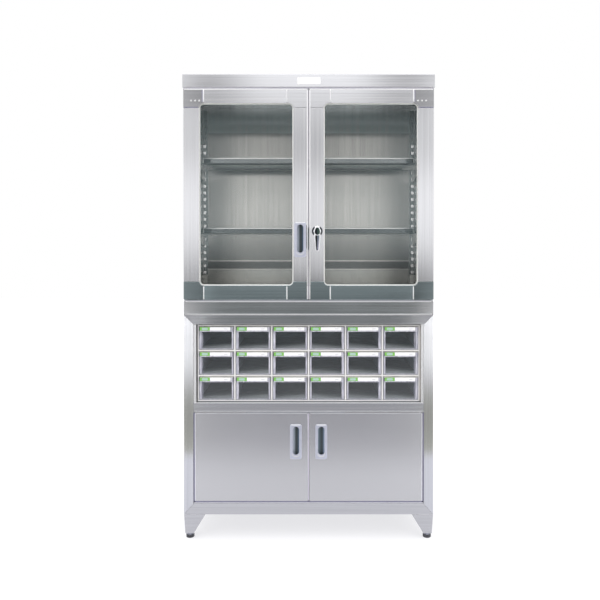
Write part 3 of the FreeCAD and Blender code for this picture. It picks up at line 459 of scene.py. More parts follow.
def pull_metal(name, cx, stops):
    """Satin-plated flush pull; its scooped recess has painted shading, pale on the left and darkest past the middle."""
    m = Mat(name)
    tc = m.new("ShaderNodeTexCoord")
    pos = m.new("ShaderNodeSeparateXYZ")
    m.link(tc.outputs["Object"], pos.inputs[0])
    cloud = m.noise(m.coords((1, 1, 1)), 60.0, 3.0, 0.6)
    deep = m.ramp(pos.outputs["Y"], -0.1945, -0.1925, 0.0, 1.0)
    # painted shade across the recess, from the stops given in x
    side = m.new("ShaderNodeValToRGB")
    els = side.color_ramp.elements
    els.remove(els[1])
    for i, (t, c) in enumerate(stops):
        e = els[0] if i == 0 else els.new(t)
        e.position = t
        e.color = (*c, 1.0)
    m.link(m.ramp(pos.outputs["X"], cx - 0.0122, cx + 0.0122, 0.0, 1.0), side.inputs[0])
    plate_tone = m.mix(m.ramp(cloud, 0.3, 0.7, 0.0, 1.0), (0.47, 0.485, 0.575), (0.52, 0.535, 0.625))
    # the plate's edges are lightened in colour as a painted highlight
    edge = m.edge_mask(0.0010, 0.25)
    plate_tone = m.mix(m.math("MULTIPLY", edge, 0.8), plate_tone, (0.88, 0.88, 0.93))
    p = m.principled()
    m.link(m.mix(deep, plate_tone, side.outputs[0]), p.inputs["Base Color"])
    m.link(m.ramp(deep, 0.0, 1.0, 0.80, 0.15), p.inputs["Metallic"])
    m.link(m.math("ADD", m.ramp(cloud, 0.3, 0.75, 0.30, 0.36), m.math("MULTIPLY", deep, 0.30)), p.inputs["Roughness"])
    return m.done(p.outputs[0])


# painted shading across the pulls' recesses, from left to right
SCOOP_SHADE_LEFT = [(0.0, (0.46, 0.49, 0.56)), (0.20, (0.38, 0.41, 0.47)), (0.36, (0.15, 0.18, 0.20)), (0.48, (0.040, 0.054, 0.058)),
              (0.72, (0.036, 0.050, 0.056)), (0.84, (0.075, 0.110, 0.155)), (1.0, (0.16, 0.22, 0.31))]
SCOOP_SHADE_RIGHT = [(0.0, (0.26, 0.32, 0.38)), (0.18, (0.12, 0.16, 0.19)), (0.40, (0.055, 0.075, 0.085)), (0.62, (0.036, 0.050, 0.058)),
               (0.76, (0.070, 0.095, 0.120)), (0.88, (0.22, 0.28, 0.37)), (1.0, (0.40, 0.46, 0.58))]


def drawer_plastic():
    """Clear moulded tray: the front is nearly clear, side walls and floor are scuffed and milky, and the floor's colour
    has painted light near the front and painted shade further back.
    """
    m = Mat("drawer_clear")
    tc = m.new("ShaderNodeTexCoord")
    nor = m.new("ShaderNodeSeparateXYZ")
    m.link(tc.outputs["Normal"], nor.inputs[0])
    smear = m.noise(m.coords((1, 1, 1)), 9.0, 4.0, 0.6)
    scuff = m.noise(m.coords((30.0, 500.0, 500.0)), 1.0, 3.0, 0.6)
    clear = m.new("ShaderNodeBsdfTransparent")
    clear.inputs["Color"].default_value = (0.86, 0.895, 0.915, 1.0)
    gloss = m.new("ShaderNodeBsdfGlossy")
    gloss.inputs["Color"].default_value = (1.0, 1.0, 1.0, 1.0)
    m.link(m.ramp(smear, 0.35, 0.75, 0.03, 0.09), gloss.inputs["Roughness"])
    fres = m.new("ShaderNodeFresnel")
    fres.inputs["IOR"].default_value = 1.50
    mixs = m.new("ShaderNodeMixShader")
    m.link(fres.outputs[0], mixs.inputs[0])
    m.link(clear.outputs[0], mixs.inputs[1])
    m.link(gloss.outputs[0], mixs.inputs[2])
    dif = m.new("ShaderNodeBsdfDiffuse")
    wall = m.ramp(m.math("ABSOLUTE", nor.outputs["X"], 0.0), 0.5, 0.9, 0.0, 1.0)
    floor_ = m.ramp(nor.outputs["Z"], 0.5, 0.9, 0.0, 1.0)
    # painted light and shade on the floor: light near the front and shade further back, the light reaching further back
    # on the side towards the cabinet's middle
    pos = m.new("ShaderNodeSeparateXYZ")
    m.link(tc.outputs["Object"], pos.inputs[0])
    bay = m.math("FRACT", m.math("DIVIDE", m.math("ADD", m.math("ABSOLUTE", pos.outputs["X"], 0.0), 0.0), 0.1356), 0.0)
    depth = m.math("ADD", pos.outputs["Y"], m.math("MULTIPLY", bay, 0.085))
    lit = m.mix(m.ramp(depth, -0.130, 0.010, 0.0, 1.0), (0.95, 0.92, 0.83), (0.12, 0.13, 0.13))
    m.link(m.mix(floor_, m.mix(wall, (0.60, 0.625, 0.655), (0.70, 0.70, 0.80)), lit), dif.inputs["Color"])
    foot_h = m.math("MULTIPLY", m.math("FRACT", m.math("DIVIDE", m.math("SUBTRACT", pos.outputs["Z"], 0.5074), 0.0925), 0.0), 0.0925)
    foot_h = m.math("ADD", foot_h, m.math("MULTIPLY", bay, 0.012))
    facing = m.ramp(m.math("ABSOLUTE", nor.outputs["Y"], 0.0), 0.5, 0.9, 0.0, 1.0)
    milky = m.math("MULTIPLY", facing, m.ramp(foot_h, 0.008, 0.026, 0.20, 0.0))
    haze = m.math("ADD", m.math("ADD", m.math("ADD", m.ramp(smear, 0.3, 0.75, 0.022, 0.038), m.ramp(pos.outputs["Z"], 0.56, 0.67, 0.016, 0.0)), milky), m.math("MULTIPLY", wall, m.ramp(scuff, 0.3, 0.7, 0.55, 0.80)))
    haze = m.math("ADD", haze, m.math("MULTIPLY", floor_, m.ramp(scuff, 0.3, 0.7, 0.60, 0.80)))
    mix2 = m.new("ShaderNodeMixShader")
    m.link(haze, mix2.inputs[0])
    m.link(mixs.outputs[0], mix2.inputs[1])
    m.link(dif.outputs[0], mix2.inputs[2])
    return m.done(mix2.outputs[0])


DRAWER = drawer_plastic()

MATERIAL = {
    "top_cap": STEEL_X, "upper_sides": STEEL_SIDE, "back_panels": STEEL_IN, "waist_deck": STEEL_WAIST,
    "shelf_standards": STEEL_STD, "shelves": STEEL_SHELF, "shelf_brackets": STEEL_BRIGHT, "lower_sides": STEEL_FLANK,
    "mid_deck": STEEL_MID, "bottom_deck": STEEL_LOW, "front_posts": STEEL_POST, "front_rails": STEEL_RAIL,
    "filler_strips": STEEL_BRIGHT, "legs": STEEL_LOW, "drawer_housing": HOUSING, "pivot_bushes": BUSH,
    "left_door_frame": STEEL_F, "left_door_corners": STEEL_CORNER, "left_door_liner": STEEL_LINER, "left_glass": GLASS,
    "left_glass_seal": SEAL, "left_pull": pull_metal("satin_pull_upper", -0.0307, SCOOP_SHADE_LEFT), "left_door_pivots": STEEL_BRIGHT,
    "right_door_frame": STEEL_F, "right_door_corners": STEEL_CORNER, "right_door_liner": STEEL_LINER, "right_glass": GLASS,
    "right_glass_seal": SEAL, "right_door_pivots": STEEL_BRIGHT,
    "lock_base": LOCK_DARK, "lock_lever": LOCK_CHROME, "lock_tongue": STEEL_BRIGHT,
    "lower_left_door": STEEL_DOOR, "lower_left_pull": pull_metal("satin_pull_lower_left", -0.0465, SCOOP_SHADE_LEFT), "lower_left_pivots": STEEL_BRIGHT,
    "lower_right_door": STEEL_DOOR, "lower_right_pull": pull_metal("satin_pull_lower_right", 0.0465, SCOOP_SHADE_RIGHT), "lower_right_pivots": STEEL_BRIGHT,
}
for name, obj in NODES.items():
    if name.startswith("foot_"):
        mat = FOOT
    elif name.startswith("drawer_r"):
        mat = DRAWER
    else:
        mat = MATERIAL[name]
    obj.data.materials.clear()
    obj.data.materials.append(mat)


# ------------------------------------------------------------------ added pieces
def mesh_object(name, bm, mats, body):
    me = bpy.data.meshes.new(name)
    bmesh.ops.recalc_face_normals(bm, faces=bm.faces)
    bm.to_mesh(me)
    bm.free()
    for mt in mats:
        me.materials.append(mt)
    ob = bpy.data.objects.new(name, me)
    scene.collection.objects.link(ob)
    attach(ob, body)
    return ob


def plate(bm, x0, x1, z0, z1, y_front, y_back, radius, edge, steps=5, index=0):
    """Rounded plate facing -Y with a softened front edge."""
    def ring(inset, y):
        r = max(radius - inset, 0.0002)
        pts = []
        for cx, cz, a0 in ((x1 - inset - r, z1 - inset - r, 0), (x0 + inset + r, z1 - inset - r, 90),
                           (x0 + inset + r, z0 + inset + r, 180), (x1 - inset - r, z0 + inset + r, 270)):
            for k in range(steps + 1):
                a = math.radians(a0 + 90 * k / steps)
                pts.append(bm.verts.new((cx + r * math.cos(a), y, cz + r * math.sin(a))))
        return pts

    rings = [ring(0.0, y_back), ring(0.0, y_front + edge), ring(edge * 0.3, y_front + edge * 0.3), ring(edge, y_front)]
    n = len(rings[0])
    for a, b in zip(rings, rings[1:]):
        for i in range(n):
            f = bm.faces.new((a[i], a[(i + 1) % n], b[(i + 1) % n], b[i]))
            f.material_index = index
            f.smooth = True
    for r_, rev in ((rings[0], False), (rings[-1], True)):
        f = bm.faces.new(r_ if rev else r_[::-1])
        f.material_index = index


def dome(bm, cx, cz, y_base, r, h, seg=20, rings=5):
    """Low rivet head standing on a face that looks along -Y."""
    loops = []
    for k in range(rings):
        a = math.radians(90.0 * k / rings)
        loops.append([bm.verts.new((cx + r * math.cos(a) * math.cos(t), y_base - h * math.sin(a), cz + r * math.cos(a) * math.sin(t)))
                      for t in (2 * math.pi * i / seg for i in range(seg))])
    tip = bm.verts.new((cx, y_base - h, cz))
    for a, b in zip(loops, loops[1:]):
        for i in range(seg):
            bm.faces.new((a[i], a[(i + 1) % seg], b[(i + 1) % seg], b[i])).smooth = True
    for i in range(seg):
        bm.faces.new((loops[-1][i], loops[-1][(i + 1) % seg], tip)).smooth = True
    bm.faces.new(loops[0][::-1])


# blank name plate on the cap
PLATE = moulded("blank_plate", (0.90, 0.90, 0.90), 0.35)
cap_lo, cap_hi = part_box("top_cap")
bm = bmesh.new()
plate(bm, -0.041, 0.044, 1.6625, 1.6885, cap_lo.y - 0.0012, cap_lo.y, 0.0022, 0.0005)
mesh_object("blank_plate", bm, [PLATE], "cabinet")

# rivet heads that hold the pivot blocks in the upper outer corners of the glazed doors
RIVET = polished("rivet_head", (0.70, 0.70, 0.70), 0.30)
door_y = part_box("left_door_frame")[0].y
for side, body in ((-1, "left_glass_door"), (1, "right_glass_door")):
    bm = bmesh.new()
    for x in (0.4280, 0.4130, 0.3985):
        dome(bm, side * x, 1.6035, door_y, 0.0034, 0.0011)
    mesh_object("pivot_rivets_left" if side < 0 else "pivot_rivets_right", bm, [RIVET], body)


# label cards in the drawers' lips
def card_material(name, base, rough):
    m = Mat(name)
    pulp = m.noise(m.coords((1, 1, 1)), 420.0, 3.0, 0.6)
    p = m.principled(**{"Specular IOR Level": 0.4})
    m.link(m.mix(m.ramp(pulp, 0.3, 0.7, 0.0, 1.0), tuple(0.95 * c for c in base), base), p.inputs["Base Color"])
    m.link(m.ramp(pulp, 0.3, 0.7, rough, rough + 0.1), p.inputs["Roughness"])
    m.link(m.bump(pulp, 0.05, 0.0002), p.inputs["Normal"])
    return m.done(p.outputs[0])


CARD_WHITE = card_material("card_white", (0.90, 0.90, 0.91), 0.4)
CARD_GREEN = card_material("card_green", (0.20, 0.51, 0.09), 0.4)
CARD_PALE = card_material("card_pale_green", (0.40, 0.56, 0.49), 0.4)


def rim_plastic(name, thin, thick):
    """Milky moulded edge of a clear drawer front."""
    m = Mat(name)
    mottle = m.noise(m.coords((220.0, 220.0, 26.0)), 1.0, 3.0, 0.6)
    clear = m.new("ShaderNodeBsdfTransparent")
    clear.inputs["Color"].default_value = (0.88, 0.88, 0.94, 1.0)
    p = m.principled(Roughness=0.28)
    m.link(m.mix(m.ramp(mottle, 0.3, 0.7, 0.0, 1.0), (0.45, 0.45, 0.53), (0.73, 0.72, 0.79)), p.inputs["Base Color"])
    mixs = m.new("ShaderNodeMixShader")
    m.link(m.ramp(mottle, 0.3, 0.7, thin, thick), mixs.inputs[0])
    m.link(clear.outputs[0], mixs.inputs[1])
    m.link(p.outputs[0], mixs.inputs[2])
    return m.done(mixs.outputs[0])


RIM = rim_plastic("drawer_rim", 0.55, 0.85)
RIM_THIN = rim_plastic("drawer_rim_thin", 0.22, 0.50)
CARD_GREY = card_material("card_grey_rule", (0.55, 0.55, 0.57), 0.4)
for r in range(1, 4):
    for c in range(1, 7):
        node = "drawer_r%dc%d" % (r, c)
        lo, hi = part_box(node)
        yf = lo.y
        z1, z0 = hi.z - 0.0014, hi.z - 0.0136
        x0 = lo.x + 0.0042
        bm = bmesh.new()
        plate(bm, x0, x0 + 0.0362, z0, z1, yf - 0.0006, yf, 0.0012, 0.0002, index=0)
        plate(bm, x0 + 0.0070, x0 + 0.0290, z0 + 0.0018, z1 - 0.0018, yf - 0.0009, yf - 0.0006, 0.0030, 0.0001, index=1)
        plate(bm, x0 + 0.0366, x0 + 0.1115, z0, z1, yf - 0.0006, yf, 0.0012, 0.0002, index=2)
        plate(bm, x0 + 0.0880, x0 + 0.1015, z0 + 0.0048, z1 - 0.0052, yf - 0.0008, yf - 0.0006, 0.0006, 0.0001, index=3)
        mesh_object("label_r%dc%d" % (r, c), bm, [CARD_GREEN, CARD_PALE, CARD_WHITE, CARD_GREY], node + "_tray")
        # milky rim: under the lip, down both sides and along the foot of the front
        front = lo.y + 0.0070
        wl, wr = (0.0085, 0.0058) if c < 4 else (0.0058, 0.0085)
        top = hi.z - 0.0190
        bm = bmesh.new()
        plate(bm, lo.x + 0.0012, lo.x + 0.0012 + wl, lo.z + 0.0012, top, front - 0.0010, front - 0.0001, 0.0008, 0.0004)
        plate(bm, hi.x - 0.0012 - wr, hi.x - 0.0012, lo.z + 0.0012, top, front - 0.0010, front - 0.0001, 0.0008, 0.0004)
        plate(bm, lo.x + 0.0014 + wl, hi.x - 0.0014 - wr, lo.z + 0.0012, lo.z + 0.0036, front - 0.0010, front - 0.0001, 0.0008, 0.0004)
        # edge of the side wall that shows through the clear front of the outer columns
        deep = {1: 0.0125, 2: 0.0085, 5: 0.0085, 6: 0.0125}.get(c)
        if deep is not None:
            xa, xb = sorted((lo.x + deep, lo.x + deep + 0.0022)) if c < 4 else sorted((hi.x - deep - 0.0022, hi.x - deep))
            plate(bm, xa, xb, lo.z + 0.0060, top - 0.0030, front - 0.0008, front - 0.0001, 0.0006, 0.0003, index=1)
        plate(bm, lo.x + 0.0030, hi.x - 0.0030, hi.z - 0.0180, hi.z - 0.0139, yf - 0.0004, yf, 0.0008, 0.0002)
        plate(bm, x0 + 0.1118, hi.x - 0.0030, z0, z1, yf - 0.0004, yf, 0.0008, 0.0002)
        mesh_object("front_rim_r%dc%d" % (r, c), bm, [RIM, RIM_THIN], node + "_tray")


def bar(bm, lo, hi, edge, index=0):
    """Long strip with eased edges, between two corners."""
    res = bmesh.ops.create_cube(bm, size=1.0)
    vs = res["verts"]
    for v in vs:
        v.co = Vector([lo[i] + (v.co[i] + 0.5) * (hi[i] - lo[i]) for i in range(3)])
    es = list({e for v in vs for e in v.link_edges})
    out = bmesh.ops.bevel(bm, geom=es, offset=edge, segments=3, profile=0.6, affect="EDGES")
    for f in out["faces"]:
        f.material_index = index
        f.smooth = True


def bead(bm, a, b, half, rise, seg=8):
    """Half-round bead on a face that looks along -Y, from a to b (x, y, z of the face line)."""
    a, b = Vector(a), Vector(b)
    d = (b - a).normalized()
    s_ = d.cross(Vector((0, -1, 0))).normalized()
    rows = []
    for p_, cap in ((a, 0.0), (a + d * half * 0.7, 1.0), (b - d * half * 0.7, 1.0), (b, 0.0)):
        row = []
        for k in range(seg + 1):
            t = math.pi * k / seg
            k_in = 0.45 + 0.55 * cap
            row.append(bm.verts.new(p_ + s_ * (half * k_in * math.cos(t)) + Vector((0, -1, 0)) * (rise * (0.25 + 0.75 * cap) * math.sin(t))))
        rows.append(row)
    for r0, r1 in zip(rows, rows[1:]):
        for k in range(seg):
            bm.faces.new((r0[k], r0[k + 1], r1[k + 1], r1[k])).smooth = True
    for r0, r1 in zip(rows, rows[1:]):
        bm.faces.new((r0[0], r1[0], r1[seg], r0[seg]))
    bm.faces.new(rows[0])
    bm.faces.new(rows[-1][::-1])


# lip seals in the gaps round the doors; the grey, violet and black strips are painted shade in the gaps, and the grey
# one under the middle of the mid rail is a painted reflection
DUST = moulded("lip_seal_pale", (0.58, 0.55, 0.66), 0.55)
DUST_MID = moulded("lip_seal_mid", (0.44, 0.42, 0.47), 0.55)
# grey, violet and black: colours of strips painted as shade in gaps and corners, the grey one also as a dark reflection
SHADE_AND_REFLECTION_GREY = moulded("painted_shade_and_reflection_grey", (0.26, 0.27, 0.30), 0.55)
SHADE_VIOLET = moulded("painted_shade_violet", (0.22, 0.215, 0.32), 0.55)
DUST_BROWN = moulded("lip_seal_brown", (0.42, 0.39, 0.36), 0.55)
SHADE_BLACK = moulded("painted_shade_black", (0.11, 0.12, 0.13), 0.55)
FACE = -0.195
# bright colour for the strips painted as the cupboard doors' edge highlight
DOOR_EDGE = polished("cupboard_door_edge", (0.74, 0.74, 0.80), 0.30)


def strip(name, lo_, hi_, edge, mat, body):
    bm_ = bmesh.new()
    bar(bm_, lo_, hi_, edge)
    return mesh_object(name, bm_, [mat], body)


strip("seal_under_cap", (-0.4555, FACE + 0.0002, 1.6483), (0.4555, FACE + 0.0014, 1.6509), 0.0004, DUST, "cabinet")
# dark strip painted as the shade in the gap under the glass doors
strip("shade_line_on_waist", (-0.4545, FACE + 0.0004, 0.8721), (0.4545, FACE + 0.0016, 0.8767), 0.0004, SHADE_AND_REFLECTION_GREY, "cabinet")
strip("seal_on_bottom_rail", (-0.4208, FACE + 0.0003, 0.1299), (0.4208, FACE + 0.0013, 0.1342), 0.0004, STEEL_LOW, "cabinet")
# dark strip painted as the shade in the gap over the bottom rail
strip("shade_line_over_bottom_rail", (-0.4160, FACE + 0.0002, 0.1344), (0.4160, FACE + 0.0012, 0.1373), 0.0003, SHADE_VIOLET, "cabinet")
strip("seal_under_mid_rail", (-0.4208, FACE + 0.0003, 0.4640), (0.4208, FACE + 0.0013, 0.4695), 0.0004, STEEL_X, "cabinet")
# dark strip painted as a reflection under the middle of the mid rail
strip("reflection_line_under_mid_rail", (-0.2300, FACE + 0.0001, 0.4636), (0.1330, FACE + 0.0009, 0.4664), 0.0003, SHADE_AND_REFLECTION_GREY, "cabinet")
# black strip painted as the shade in the gap under the drawer housing
strip("shade_line_under_housing", (-0.4072, -0.1846, 0.5013), (0.4072, -0.1832, 0.5032), 0.0004, SHADE_BLACK, "cabinet")
strip("seal_beside_housing", (0.4081, -0.1815, 0.5030), (0.4113, -0.1785, 0.7850), 0.0005, DUST_BROWN, "cabinet")
# dark strips painted as the shade in the gaps between the posts and the cupboard doors
for side, nm in ((-1, "left"), (1, "right")):
    xs = sorted((side * 0.4180, side * 0.4207))
    strip("seal_on_%s_post" % nm, (xs[0], FACE + 0.00005, 0.1370), (xs[1], FACE + 0.0007, 0.4638), 0.0002, SHADE_VIOLET, "%s_cupboard_door" % nm)
# bright strips along the cupboard doors' outer edges, painted as the edge highlight
for side, nm in ((-1, "left"), (1, "right")):
    xs = sorted((side * 0.4142, side * 0.4168))
    strip("door_edge_%s" % nm, (xs[0], FACE - 0.0003, 0.1400), (xs[1], FACE + 0.0004, 0.4605), 0.0002, DOOR_EDGE, "%s_cupboard_door" % nm)
strip("seal_between_cupboard_doors", (-0.0022, FACE + 0.0012, 0.1400), (0.0010, FACE + 0.0052, 0.4605), 0.0006, DUST, "left_cupboard_door")
strip("seal_between_glass_doors", (-0.0020, FACE + 0.0012, 0.8795), (0.0012, FACE + 0.0052, 1.6455), 0.0006, DUST_MID, "left_glass_door")
# black strip painted as the shade in the gap beside the lock
strip("shade_line_at_lock", (-0.0020, FACE + 0.0006, 1.0600), (0.0012, FACE + 0.0012, 1.1420), 0.0002, SHADE_BLACK, "left_glass_door")

# bright folded edges: rail ends, door tops, waist band, shelf fronts
TRIM = polished("folded_edge", (0.90, 0.90, 0.91), 0.32)
TRIM_LOW = polished("folded_edge_low", (0.80, 0.80, 0.80), 0.36, 0.45)
TRIM_SOFT = polished("folded_edge_soft", (0.86, 0.87, 0.86), 0.40, 0.15)
TRIM_DIM = polished("folded_edge_dull", (0.64, 0.64, 0.65), 0.36)
for side, nm in ((-1, "left"), (1, "right")):
    bm = bmesh.new()
    for x in (0.3832, 0.0792):
        half = 0.0019 if x > 0.2 else 0.0016
        bead(bm, (side * x, FACE, 1.5985), (side * x, FACE, 1.6455), half, 0.0011)
    bead(bm, (side * 0.0030, FACE, 1.6452), (side * 0.4540, FACE, 1.6452), 0.0020, 0.0008)
    bead(bm, (side * 0.0045, FACE, 0.9300), (side * 0.0045, FACE, 1.6425), 0.0017, 0.0008)
    mesh_object("folded_edges_%s" % nm, bm, [TRIM], nm + "_glass_door")
    bm = bmesh.new()
    for x in (0.3832, 0.0792):
        bead(bm, (side * x, FACE, 0.8790), (side * x, FACE, 0.9262), 0.0017, 0.0010)
    bead(bm, (side * 0.0045, FACE, 0.8790), (side * 0.0045, FACE, 0.9296), 0.0015, 0.0008)
    mesh_object("low_edges_%s" % nm, bm, [TRIM_LOW], nm + "_glass_door")
    # dark strips painted as the shadow lines round the outer corner plates
    bm = bmesh.new()
    xs = sorted((side * 0.3862, side * 0.3885))
    bar(bm, (xs[0], FACE - 0.0003, 1.5990), (xs[1], FACE + 0.0004, 1.6425), 0.0002)
    xs = sorted((side * 0.4035, side * 0.4545))
    bar(bm, (xs[0], FACE - 0.0003, 1.5782), (xs[1], FACE + 0.0004, 1.5806), 0.0002)
    mesh_object("corner_steps_%s" % nm, bm, [SHADE_VIOLET], nm + "_glass_door")
bm = bmesh.new()
bead(bm, (-0.4480, FACE, 0.8707), (0.4480, FACE, 0.8707), 0.0014, 0.0006)
bead(bm, (-0.4530, FACE, 0.8246), (0.4530, FACE, 0.8246), 0.0016, 0.0007)
mesh_object("waist_edges", bm, [TRIM_DIM], "cabinet")
bm = bmesh.new()
bead(bm, (-0.4200, FACE, 0.5000), (0.4200, FACE, 0.5000), 0.0010, 0.0005)
mesh_object("mid_rail_edge", bm, [TRIM], "cabinet")
for k, zt in enumerate((1.412, 1.142)):
    bm = bmesh.new()
    y_s = -0.052
    bar(bm, (-0.4085, y_s - 0.0007, zt - 0.0040), (0.4085, y_s + 0.0002, zt - 0.0006), 0.0002)
    mesh_object("shelf_edge_%d" % (k + 1), bm, [TRIM], "cabinet")
    bm = bmesh.new()
    for side in (-1, 1):
        xs = sorted((side * 0.4046, side * 0.4086))
        bar(bm, (xs[0], y_s - 0.0007, zt - 0.0205), (xs[1], y_s + 0.0002, zt - 0.0043), 0.0002)
    mesh_object("shelf_end_%d" % (k + 1), bm, [TRIM_SOFT], "cabinet")
    # stiffening channel across the open underside
    bm = bmesh.new()
    bar(bm, (-0.4082, 0.036, zt - 0.0245), (0.4082, 0.046, zt - 0.0185), 0.0008)
    bar(bm, (-0.4082, 0.128, zt - 0.0222), (0.4082, 0.138, zt - 0.0185), 0.0008)
    mesh_object("shelf_channel_%d" % (k + 1), bm, [TRIM_SOFT], "cabinet")

# pressed tongues beside the slots of the shelf standards, each with a black strip beside it painted as its shadow
TAB = polished("standard_tab", (0.70, 0.70, 0.71), 0.20)
for side, nm in ((-1, "left"), (1, "right")):
    bm = bmesh.new()
    z = 0.956
    while z < 1.50:
        xs = sorted((side * 0.4325, side * 0.4447))
        had = set(bm.verts)
        plate(bm, xs[0], xs[1], z - 0.0064, z + 0.0064, 0.1962, 0.1990, 0.0022, 0.0006)
        for v in set(bm.verts) - had:
            v.co.y -= 0.155 * (abs(v.co.x) - 0.4325)
        # black strip painted as the tongue's shadow
        xs = sorted((side * 0.4285, side * 0.4322))
        plate(bm, xs[0], xs[1], z - 0.0062, z + 0.0040, 0.1976, 0.1990, 0.0012, 0.0006, index=1)
        z += 0.028
    mesh_object("standard_tabs_%s" % nm, bm, [TAB, SHADE_BLACK], "cabinet")


def arc_bead(bm, cx, cz, y, radius, a0, a1, half, rise, seg=8, steps=28):
    """Half-round bead along an arc on a face that looks along -Y, thinning out to its ends."""
    rows = []
    for i in range(steps + 1):
        t = i / steps
        a_ = math.radians(a0 + (a1 - a0) * t)
        k_in = 0.15 + 0.85 * math.sin(math.pi * t) ** 0.6
        row = []
        for k in range(seg + 1):
            u = math.pi * k / seg
            rr = radius + half * k_in * math.cos(u)
            row.append(bm.verts.new((cx + rr * math.cos(a_), y - rise * k_in * math.sin(u), cz + rr * math.sin(a_))))
        rows.append(row)
    for r0, r1 in zip(rows, rows[1:]):
        for k in range(seg):
            bm.faces.new((r0[k], r0[k + 1], r1[k + 1], r1[k])).smooth = True
        bm.faces.new((r0[0], r1[0], r1[seg], r0[seg]))
    bm.faces.new(rows[0])
    bm.faces.new(rows[-1][::-1])


# bright lower lip and upper edge of the flush pulls
for nm, cx, cz, body in (("upper", -0.0307, 1.097, "left_glass_door"), ("lower_left", -0.0465, 0.357, "left_cupboard_door"), ("lower_right", 0.0465, 0.357, "right_cupboard_door")):
    y_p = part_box({"upper": "left_pull", "lower_left": "lower_left_pull", "lower_right": "lower_right_pull"}[nm])[0].y
    bm = bmesh.new()
    arc_bead(bm, cx, cz - 0.0400, y_p, 0.0148, 188.0, 352.0, 0.0016, 0.0009)
    mesh_object("pull_lip_%s" % nm, bm, [TRIM_DIM], body)
    bm = bmesh.new()
    bead(bm, (cx - 0.0175, y_p, cz + 0.0617), (cx + 0.0175, y_p, cz + 0.0617), 0.0013, 0.0006)
    mesh_object("pull_edge_%s" % nm, bm, [TRIM], body)

# bright bevel behind the lever's blade
bm = bmesh.new()
pts = [(-0.0118, -0.0135), (-0.0104, -0.030), (-0.0072, -0.066), (-0.0050, -0.0722), (0.0050, -0.0722), (0.0072, -0.066), (0.0104, -0.030), (0.0118, -0.0135)]
rings = []
for grow, y_ in ((0.0, -0.2106), (0.0, -0.2116), (-0.0006, -0.2122)):
    rings.append([bm.verts.new((0.0315 + x_ + math.copysign(grow, x_), y_, 1.128 + z_ - (grow if z_ < -0.05 else 0.0))) for x_, z_ in pts])
for r0, r1 in zip(rings, rings[1:]):
    for i in range(len(pts)):
        bm.faces.new((r0[i], r0[(i + 1) % len(pts)], r1[(i + 1) % len(pts)], r1[i]))
bm.faces.new(rings[0])
bm.faces.new(rings[-1][::-1])
mesh_object("lever_bevel", bm, [TRIM], "door_lock")

# kick plate low on the inside of the back
bm = bmesh.new()
bar(bm, (-0.4262, 0.2050, 0.8840), (0.4262, 0.2064, 0.9665), 0.0004)
for v in bm.verts:
    v.co.y -= 0.0075 * (0.9665 - v.co.z) / 0.0825
mesh_object("rear_kick", bm, [STEEL_KICK], "cabinet")
# foot of each standard and the lip in the rear corner
for side, nm in ((-1, "left"), (1, "right")):
    bm = bmesh.new()
    xs = sorted((side * 0.4268, side * 0.4466))
    bar(bm, (xs[0], 0.1972, 0.8840), (xs[1], 0.1986, 0.9465), 0.0004)
    for v in bm.verts:
        v.co.y -= 0.0057 * (0.9465 - v.co.z) / 0.0625 + 0.10 * (abs(v.co.x) - 0.4268)
    mesh_object("standard_foot_%s" % nm, bm, [STEEL_KICK], "cabinet")
    bm = bmesh.new()
    xs = sorted((side * 0.4450, side * 0.4468))
    bar(bm, (xs[0], 0.1925, 0.9480), (xs[1], 0.1950, 1.6400), 0.0004)
    mesh_object("corner_lip_%s" % nm, bm, [TRIM_SOFT], "cabinet")

# dark strip painted as the shade at the left door's inner edge beside the pull
strip("shade_line_by_pull", (-0.0090, FACE - 0.0003, 1.0650), (-0.0064, FACE + 0.0004, 1.1500), 0.0002, SHADE_BLACK, "left_glass_door")

# ------------------------------------------------------------------ stage
m = Mat("floor_white")
p = m.principled(Roughness=0.9, **{"Specular IOR Level": 0.0})
p.inputs["Base Color"].default_value = (0.37, 0.37, 0.37, 1.0)
p.inputs["Emission Color"].default_value = (0.98, 0.98, 1.0, 1.0)
p.inputs["Emission Strength"].default_value = 0.655
FLOOR = m.done(p.outputs[0])
me = bpy.data.meshes.new("floor")
me.from_pydata([(-6, -1.15, 0), (6, -1.15, 0), (6, 9, 0), (-6, 9, 0)], [], [(0, 1, 2, 3)])
me.materials.append(FLOOR)
floor = bpy.data.objects.new("floor", me)
floor.location.z = -0.0002
scene.collection.objects.link(floor)
floor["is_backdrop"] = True

# the room's brightness by angle above the horizon, straight ahead of the cabinet and elsewhere
EL_LO, EL_HI = -30.0, 50.0
WHITE, GREEN, OLIVE, LILAC = (1.0, 0.998, 1.012), (0.91, 1.0, 1.02), (1.0, 1.02, 0.93), (1.0, 0.998, 1.05)
AHEAD = [(-30, 0.60, LILAC), (-17, 0.64, LILAC), (-15.2, 0.53, LILAC), (-13.5, 0.61, LILAC), (-9, 0.36, GREEN), (-8, 0.28, GREEN), (-6.5, 0.21, GREEN), (-4.5, 0.15, GREEN), (-3.8, 0.42, WHITE), (-3.2, 0.90, WHITE),
         (-1.0, 1.14, WHITE), (1.0, 1.30, WHITE), (3, 1.31, WHITE), (5, 1.14, WHITE), (7.0, 0.77, WHITE), (8.3, 0.78, WHITE), (9.6, 1.06, WHITE), (11.0, 1.06, WHITE), (12.2, 1.44, WHITE), (14, 1.96, WHITE), (22, 1.90, WHITE), (34, 1.40, WHITE), (50, 1.85, WHITE)]
